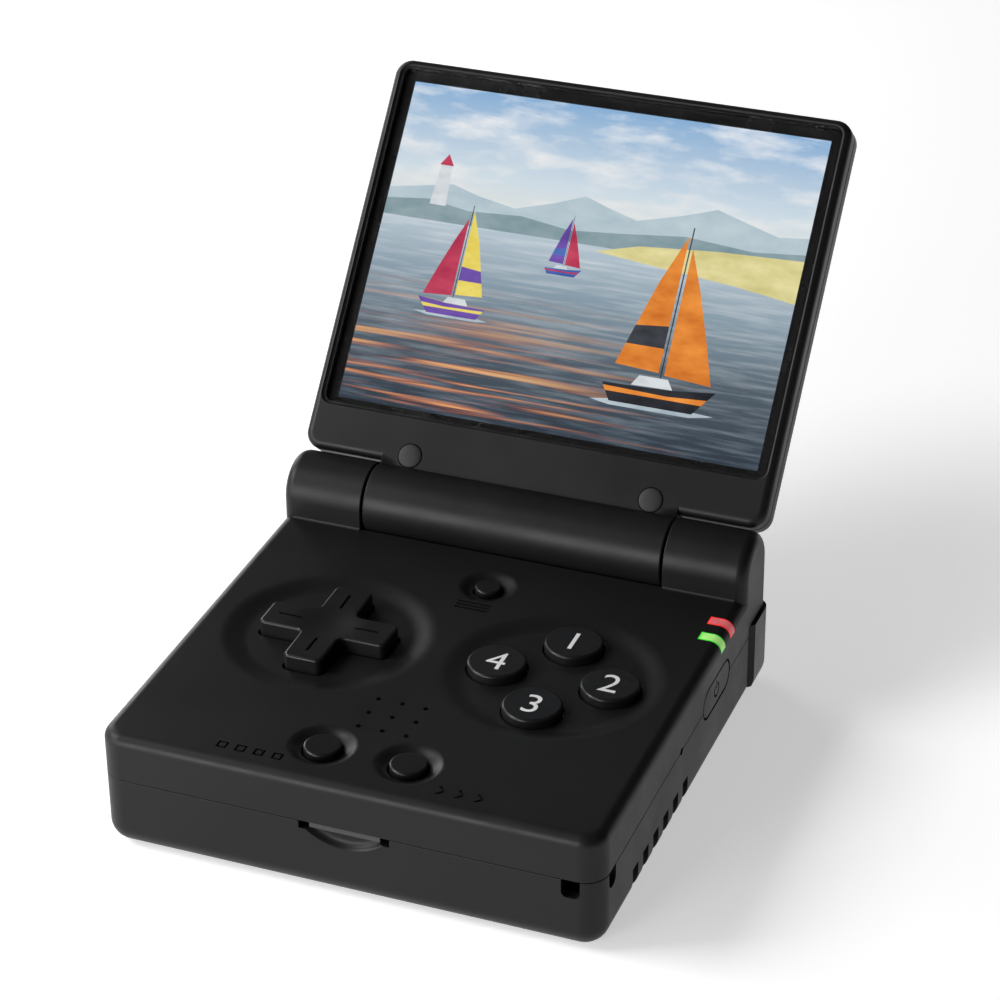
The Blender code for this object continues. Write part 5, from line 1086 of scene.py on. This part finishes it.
WAKE = ((-0.60, -0.004), (-0.42, -0.022), (0.34, -0.022), (0.56, 0.004), (0.36, 0.012), (-0.42, 0.012))
BOATS = (                    # middle, waterline, size, turn, and names of the paints
    (0.735, 0.13, 0.40, 1, "black", "orange", "orange", "dark", "orange"),
    (0.215, 0.30, 0.25, -1, "purple", "yellow", "yellow", "purple", "red"),
    (0.455, 0.475, 0.135, 1, "blue", "red", "purple", "blue", "red"),
)
PAINTS = {                   # darker and lighter shade
    "far_hill": ((0.42, 0.53, 0.60), (0.55, 0.66, 0.71)),
    "near_hill": ((0.20, 0.30, 0.34), (0.33, 0.43, 0.46)),
    "shore": ((0.62, 0.56, 0.22), (0.88, 0.80, 0.42)), "tower": ((0.55, 0.60, 0.64), (0.80, 0.84, 0.86)),
    "black": ((0.010, 0.012, 0.016), (0.035, 0.038, 0.045)),
    "dark": ((0.025, 0.028, 0.035), (0.07, 0.075, 0.09)),
    "orange": ((0.62, 0.16, 0.02), (0.95, 0.34, 0.06)), "yellow": ((0.72, 0.55, 0.06), (0.95, 0.80, 0.20)),
    "purple": ((0.10, 0.05, 0.30), (0.22, 0.12, 0.50)), "red": ((0.42, 0.03, 0.08), (0.66, 0.08, 0.14)),
    "blue": ((0.04, 0.09, 0.34), (0.10, 0.20, 0.56)), "foam": ((0.34, 0.42, 0.48), (0.60, 0.68, 0.74)),
}


def stretched(look, uv, stretch, turn=0.0):
    """The picture's coordinates, stretched and turned for a noise."""
    inputs = {"Vector": uv, "Scale": (*stretch, 1), "Rotation": (0, 0, turn)}
    return look.add("Mapping", "Vector", inputs)


def shining(look, colour):
    """Finish a picture material, which shines and reflects nothing."""
    return look.shade({"Emission Color": colour, "Emission Strength": 1.0, "Base Color": (0, 0, 0, 1),
                       "Specular IOR Level": 0, "Roughness": 0.6})


def scenery():
    """Sky with soft clouds over a lake with ripples and warm streaks of light."""
    look = new_look("picture_scenery")
    uv = look.add("TexCoord", "UV")
    across = look.add("SeparateXYZ", "X", {"Vector": uv})
    height = across.node.outputs["Y"]
    sky = look.ramp(height, ((HORIZON, (0.80, 0.80, 0.74)), (0.74, (0.66, 0.76, 0.83)),
                             (1.0, (0.26, 0.45, 0.70))))
    cloud = look.noise(stretched(look, uv, (3.0, 7.0), 0.25), 1.6, 7.0, 0.58)
    puffs = look.remap(cloud, 0.0, 0.95, 0.46, 0.68)
    sky = look.mix(puffs, sky, look.ramp(height, ((0.6, (0.86, 0.85, 0.82)), (1.0, (0.88, 0.91, 0.95)))))
    lake = look.ramp(height, ((0.0, (0.030, 0.042, 0.060)), (0.22, (0.085, 0.115, 0.145)),
                              (0.42, (0.26, 0.35, 0.42)), (HORIZON, (0.52, 0.62, 0.70))))
    ripple = look.remap(look.noise(stretched(look, uv, (5.0, 60.0)), 1.0, 5.0, 0.6), 0.0, 0.45, 0.45, 0.70)
    lake = look.mix(ripple, lake, look.ramp(height, ((0.0, (0.20, 0.27, 0.34)), (0.6, (0.85, 0.88, 0.90)))))
    glow = look.noise(stretched(look, uv, (1.4, 46.0), 0.16), 1.0, 3.0, 0.5)
    low = look.remap(height, 1.0, 0.0, 0.10, 0.42)
    left = look.remap(across, 1.0, 0.0, 0.30, 0.85)
    streaks = look.math("MULTIPLY", look.math("MULTIPLY", low, left), look.remap(glow, 0.0, 1.0, 0.50, 0.62))
    lake = look.mix(streaks, lake, look.ramp(glow, ((0.50, (0.62, 0.14, 0.08)), (0.70, (0.95, 0.55, 0.22)))))
    above = look.remap(height, 0.0, 1.0, HORIZON - HORIZON_BLUR, HORIZON + HORIZON_BLUR)
    return shining(look, look.mix(above, lake, sky))


def paint(name):
    """Flat colour of the picture, uneven between two shades."""
    dark, light = PAINTS[name]
    look = new_look("picture_" + name)
    cloud = look.noise(stretched(look, look.add("TexCoord", "UV"), (9.0, 14.0)), 1.0, 4.0, 0.6)
    return shining(look, look.mix(look.remap(cloud, 0.0, 1.0), (*dark, 1), (*light, 1)))


def picture_layer(name, look, layer, outlines):
    """Thin flat pieces of the picture, given in shares of its width and height."""
    width, height = 2 * PICTURE_HALF, PICTURE_HIGH - PICTURE_LOW
    front = PICTURE_DEPTH - layer * PICTURE_LAYER
    merged = bmesh.new()
    for outline in outlines:
        points = [(width * (u - 0.5), PICTURE_LOW + height * v) for u, v in outline]
        piece = body(name, straight(points, front, front + PICTURE_LAYER / 2), "Y")
        merged.from_mesh(piece.data)
        bpy.data.objects.remove(piece)
    uv_layer = merged.loops.layers.uv.new("UVMap")
    for face in merged.faces:
        for loop in face.loops:
            x, _, z = loop.vert.co
            loop[uv_layer].uv = (x / width + 0.5, (z - PICTURE_LOW) / height)
    data = bpy.data.meshes.new(name)
    merged.to_mesh(data)
    merged.free()
    data.transform(LID_FRAME)
    made = in_scene(name, data)
    data.materials.append(look)
    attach(made, "lid")


def picture():
    """The whole picture, from the scenery to the boats."""
    picture_layer("picture_scenery", scenery(), 0, [rect(0, 1, 0, 1)])
    groups = {"far_hill": [(1, HILLS[0])], "near_hill": [(2, HILLS[1])], "shore": [(3, SHORE)],
              "tower": [(3, TOWER)], "red": [(4, TOWER_CAP)]}
    aspect = 2 * PICTURE_HALF / (PICTURE_HIGH - PICTURE_LOW)
    for middle, waterline, size, turn, hull, stripe, main, band, fore in BOATS:
        parts = ((4, "foam", WAKE), (5, hull, HULL), (6, stripe, STRIPE), (5, "tower", CABIN),
                 (4, "dark", MAST), (5, main, MAIN_SAIL), (6, band, MAIN_BAND), (5, fore, FORE_SAIL))
        for layer, colour, outline in parts:
            across = turn * size * SAIL_WIDTH
            placed = [(middle + across * a, waterline + size * b * aspect) for a, b in outline]
            groups.setdefault(colour, []).append((layer, placed[::turn]))
    for colour, parts in groups.items():
        look = paint(colour)
        for layer in sorted({layer for layer, _ in parts}):
            outlines = [outline for height, outline in parts if height == layer]
            picture_layer("picture_%s_%d" % (colour, layer), look, layer, outlines)


picture()


# Floor, light and camera

FLOOR_HALF = 6.0
FLOOR_LIT = 0.5
WORLD_BANDS = ((0.0, 0.0), (0.10, 0.02), (0.22, 0.09), (0.5, 0.09), (1.0, 0.04))   # height, grey
LAMPS = (                    # name, direction, distance, size and power in watts
    ("front_low", (-0.35, -0.92, 0.15), 0.9, 0.35, 4.6),
    ("front_left", (-0.75, -0.62, 0.2), 0.9, 0.4, 2.6),
    ("left_high", (-0.75, -0.25, 0.6), 0.9, 0.4, 6.4),
    ("rear_left", (-0.75, 0.45, 0.5), 0.9, 0.4, 1.0),
    ("rear_left_low", (-0.8, 0.6, 0.15), 0.9, 0.4, 2.0),
)
AIM = Vector((0, 0, 0.03))
CAMERA_PLACE = (157.667 * MM, -380.262 * MM, 284.967 * MM)
CAMERA_YAW = math.radians(21.3132)
CAMERA_PITCH = math.radians(30.2332)
CAMERA_ROLL = math.radians(-0.5660)
CAMERA_LENS = 116.636
CAMERA_SENSOR = 36.0


def seen_rays(look):
    """1 for camera, glossy and transmission rays, else 0."""
    seen = look.add("LightPath", "Is Camera Ray")
    path = seen.node
    for kind in ("Is Glossy Ray", "Is Transmission Ray"):
        seen = look.math("MAXIMUM", seen, path.outputs[kind])
    return seen


def floor():
    """Plain white floor that keeps the object's shadow."""
    mesh = bmesh.new()
    bmesh.ops.create_grid(mesh, x_segments=1, y_segments=1, size=FLOOR_HALF)
    data = bpy.data.meshes.new("floor")
    mesh.to_mesh(data)
    mesh.free()
    made = in_scene("floor", data)
    look = new_look("floor_white")
    glow = look.math("MULTIPLY", seen_rays(look), FLOOR_LIT)
    data.materials.append(look.shade({
        "Base Color": (0.8, 0.8, 0.8, 1), "Roughness": 0.9, "Specular IOR Level": 0.0,
        "Emission Color": (1, 1, 1, 1), "Emission Strength": glow}))


def world():
    """Studio surround: pale near the horizon and dim above."""
    made = bpy.data.worlds.new("studio")
    sky = Shading(made)
    height = sky.add("SeparateXYZ", "Z", {"Vector": sky.add("TexCoord", "Generated")})
    greys = [(rise, (grey, grey, grey)) for rise, grey in WORLD_BANDS]
    sky.feed(sky.tree.nodes["Background"], {"Color": sky.ramp(height, greys)})
    bpy.context.scene.world = made


def lamp(name, direction, distance, size, power):
    """Square soft light aimed at the object."""
    data = bpy.data.lights.new(name, "AREA")
    data.shape = "SQUARE"
    data.size = size
    data.energy = power
    made = in_scene(name, data)
    heading = Vector(direction).normalized()
    made.location = AIM + heading * distance
    made.rotation_euler = heading.to_track_quat("Z", "Y").to_euler()


def camera():
    """The photograph's camera."""
    data = bpy.data.cameras.new("camera")
    data.lens = CAMERA_LENS
    data.sensor_width = CAMERA_SENSOR
    made = in_scene("camera", data)
    forward = Vector((-math.sin(CAMERA_YAW) * math.cos(CAMERA_PITCH),
                      math.cos(CAMERA_YAW) * math.cos(CAMERA_PITCH), -math.sin(CAMERA_PITCH)))
    level = Vector((math.cos(CAMERA_YAW), math.sin(CAMERA_YAW), 0))
    up = level.cross(forward)
    right = math.cos(CAMERA_ROLL) * level + math.sin(CAMERA_ROLL) * up
    top = -math.sin(CAMERA_ROLL) * level + math.cos(CAMERA_ROLL) * up
    turn = Matrix((right, top, -forward)).transposed().to_4x4()
    made.matrix_world = Matrix.Translation(CAMERA_PLACE) @ turn
    bpy.context.scene.camera = made


floor()
world()
for settings in LAMPS:
    lamp(*settings)
camera()
bpy.context.scene.view_settings.view_transform = "Standard"
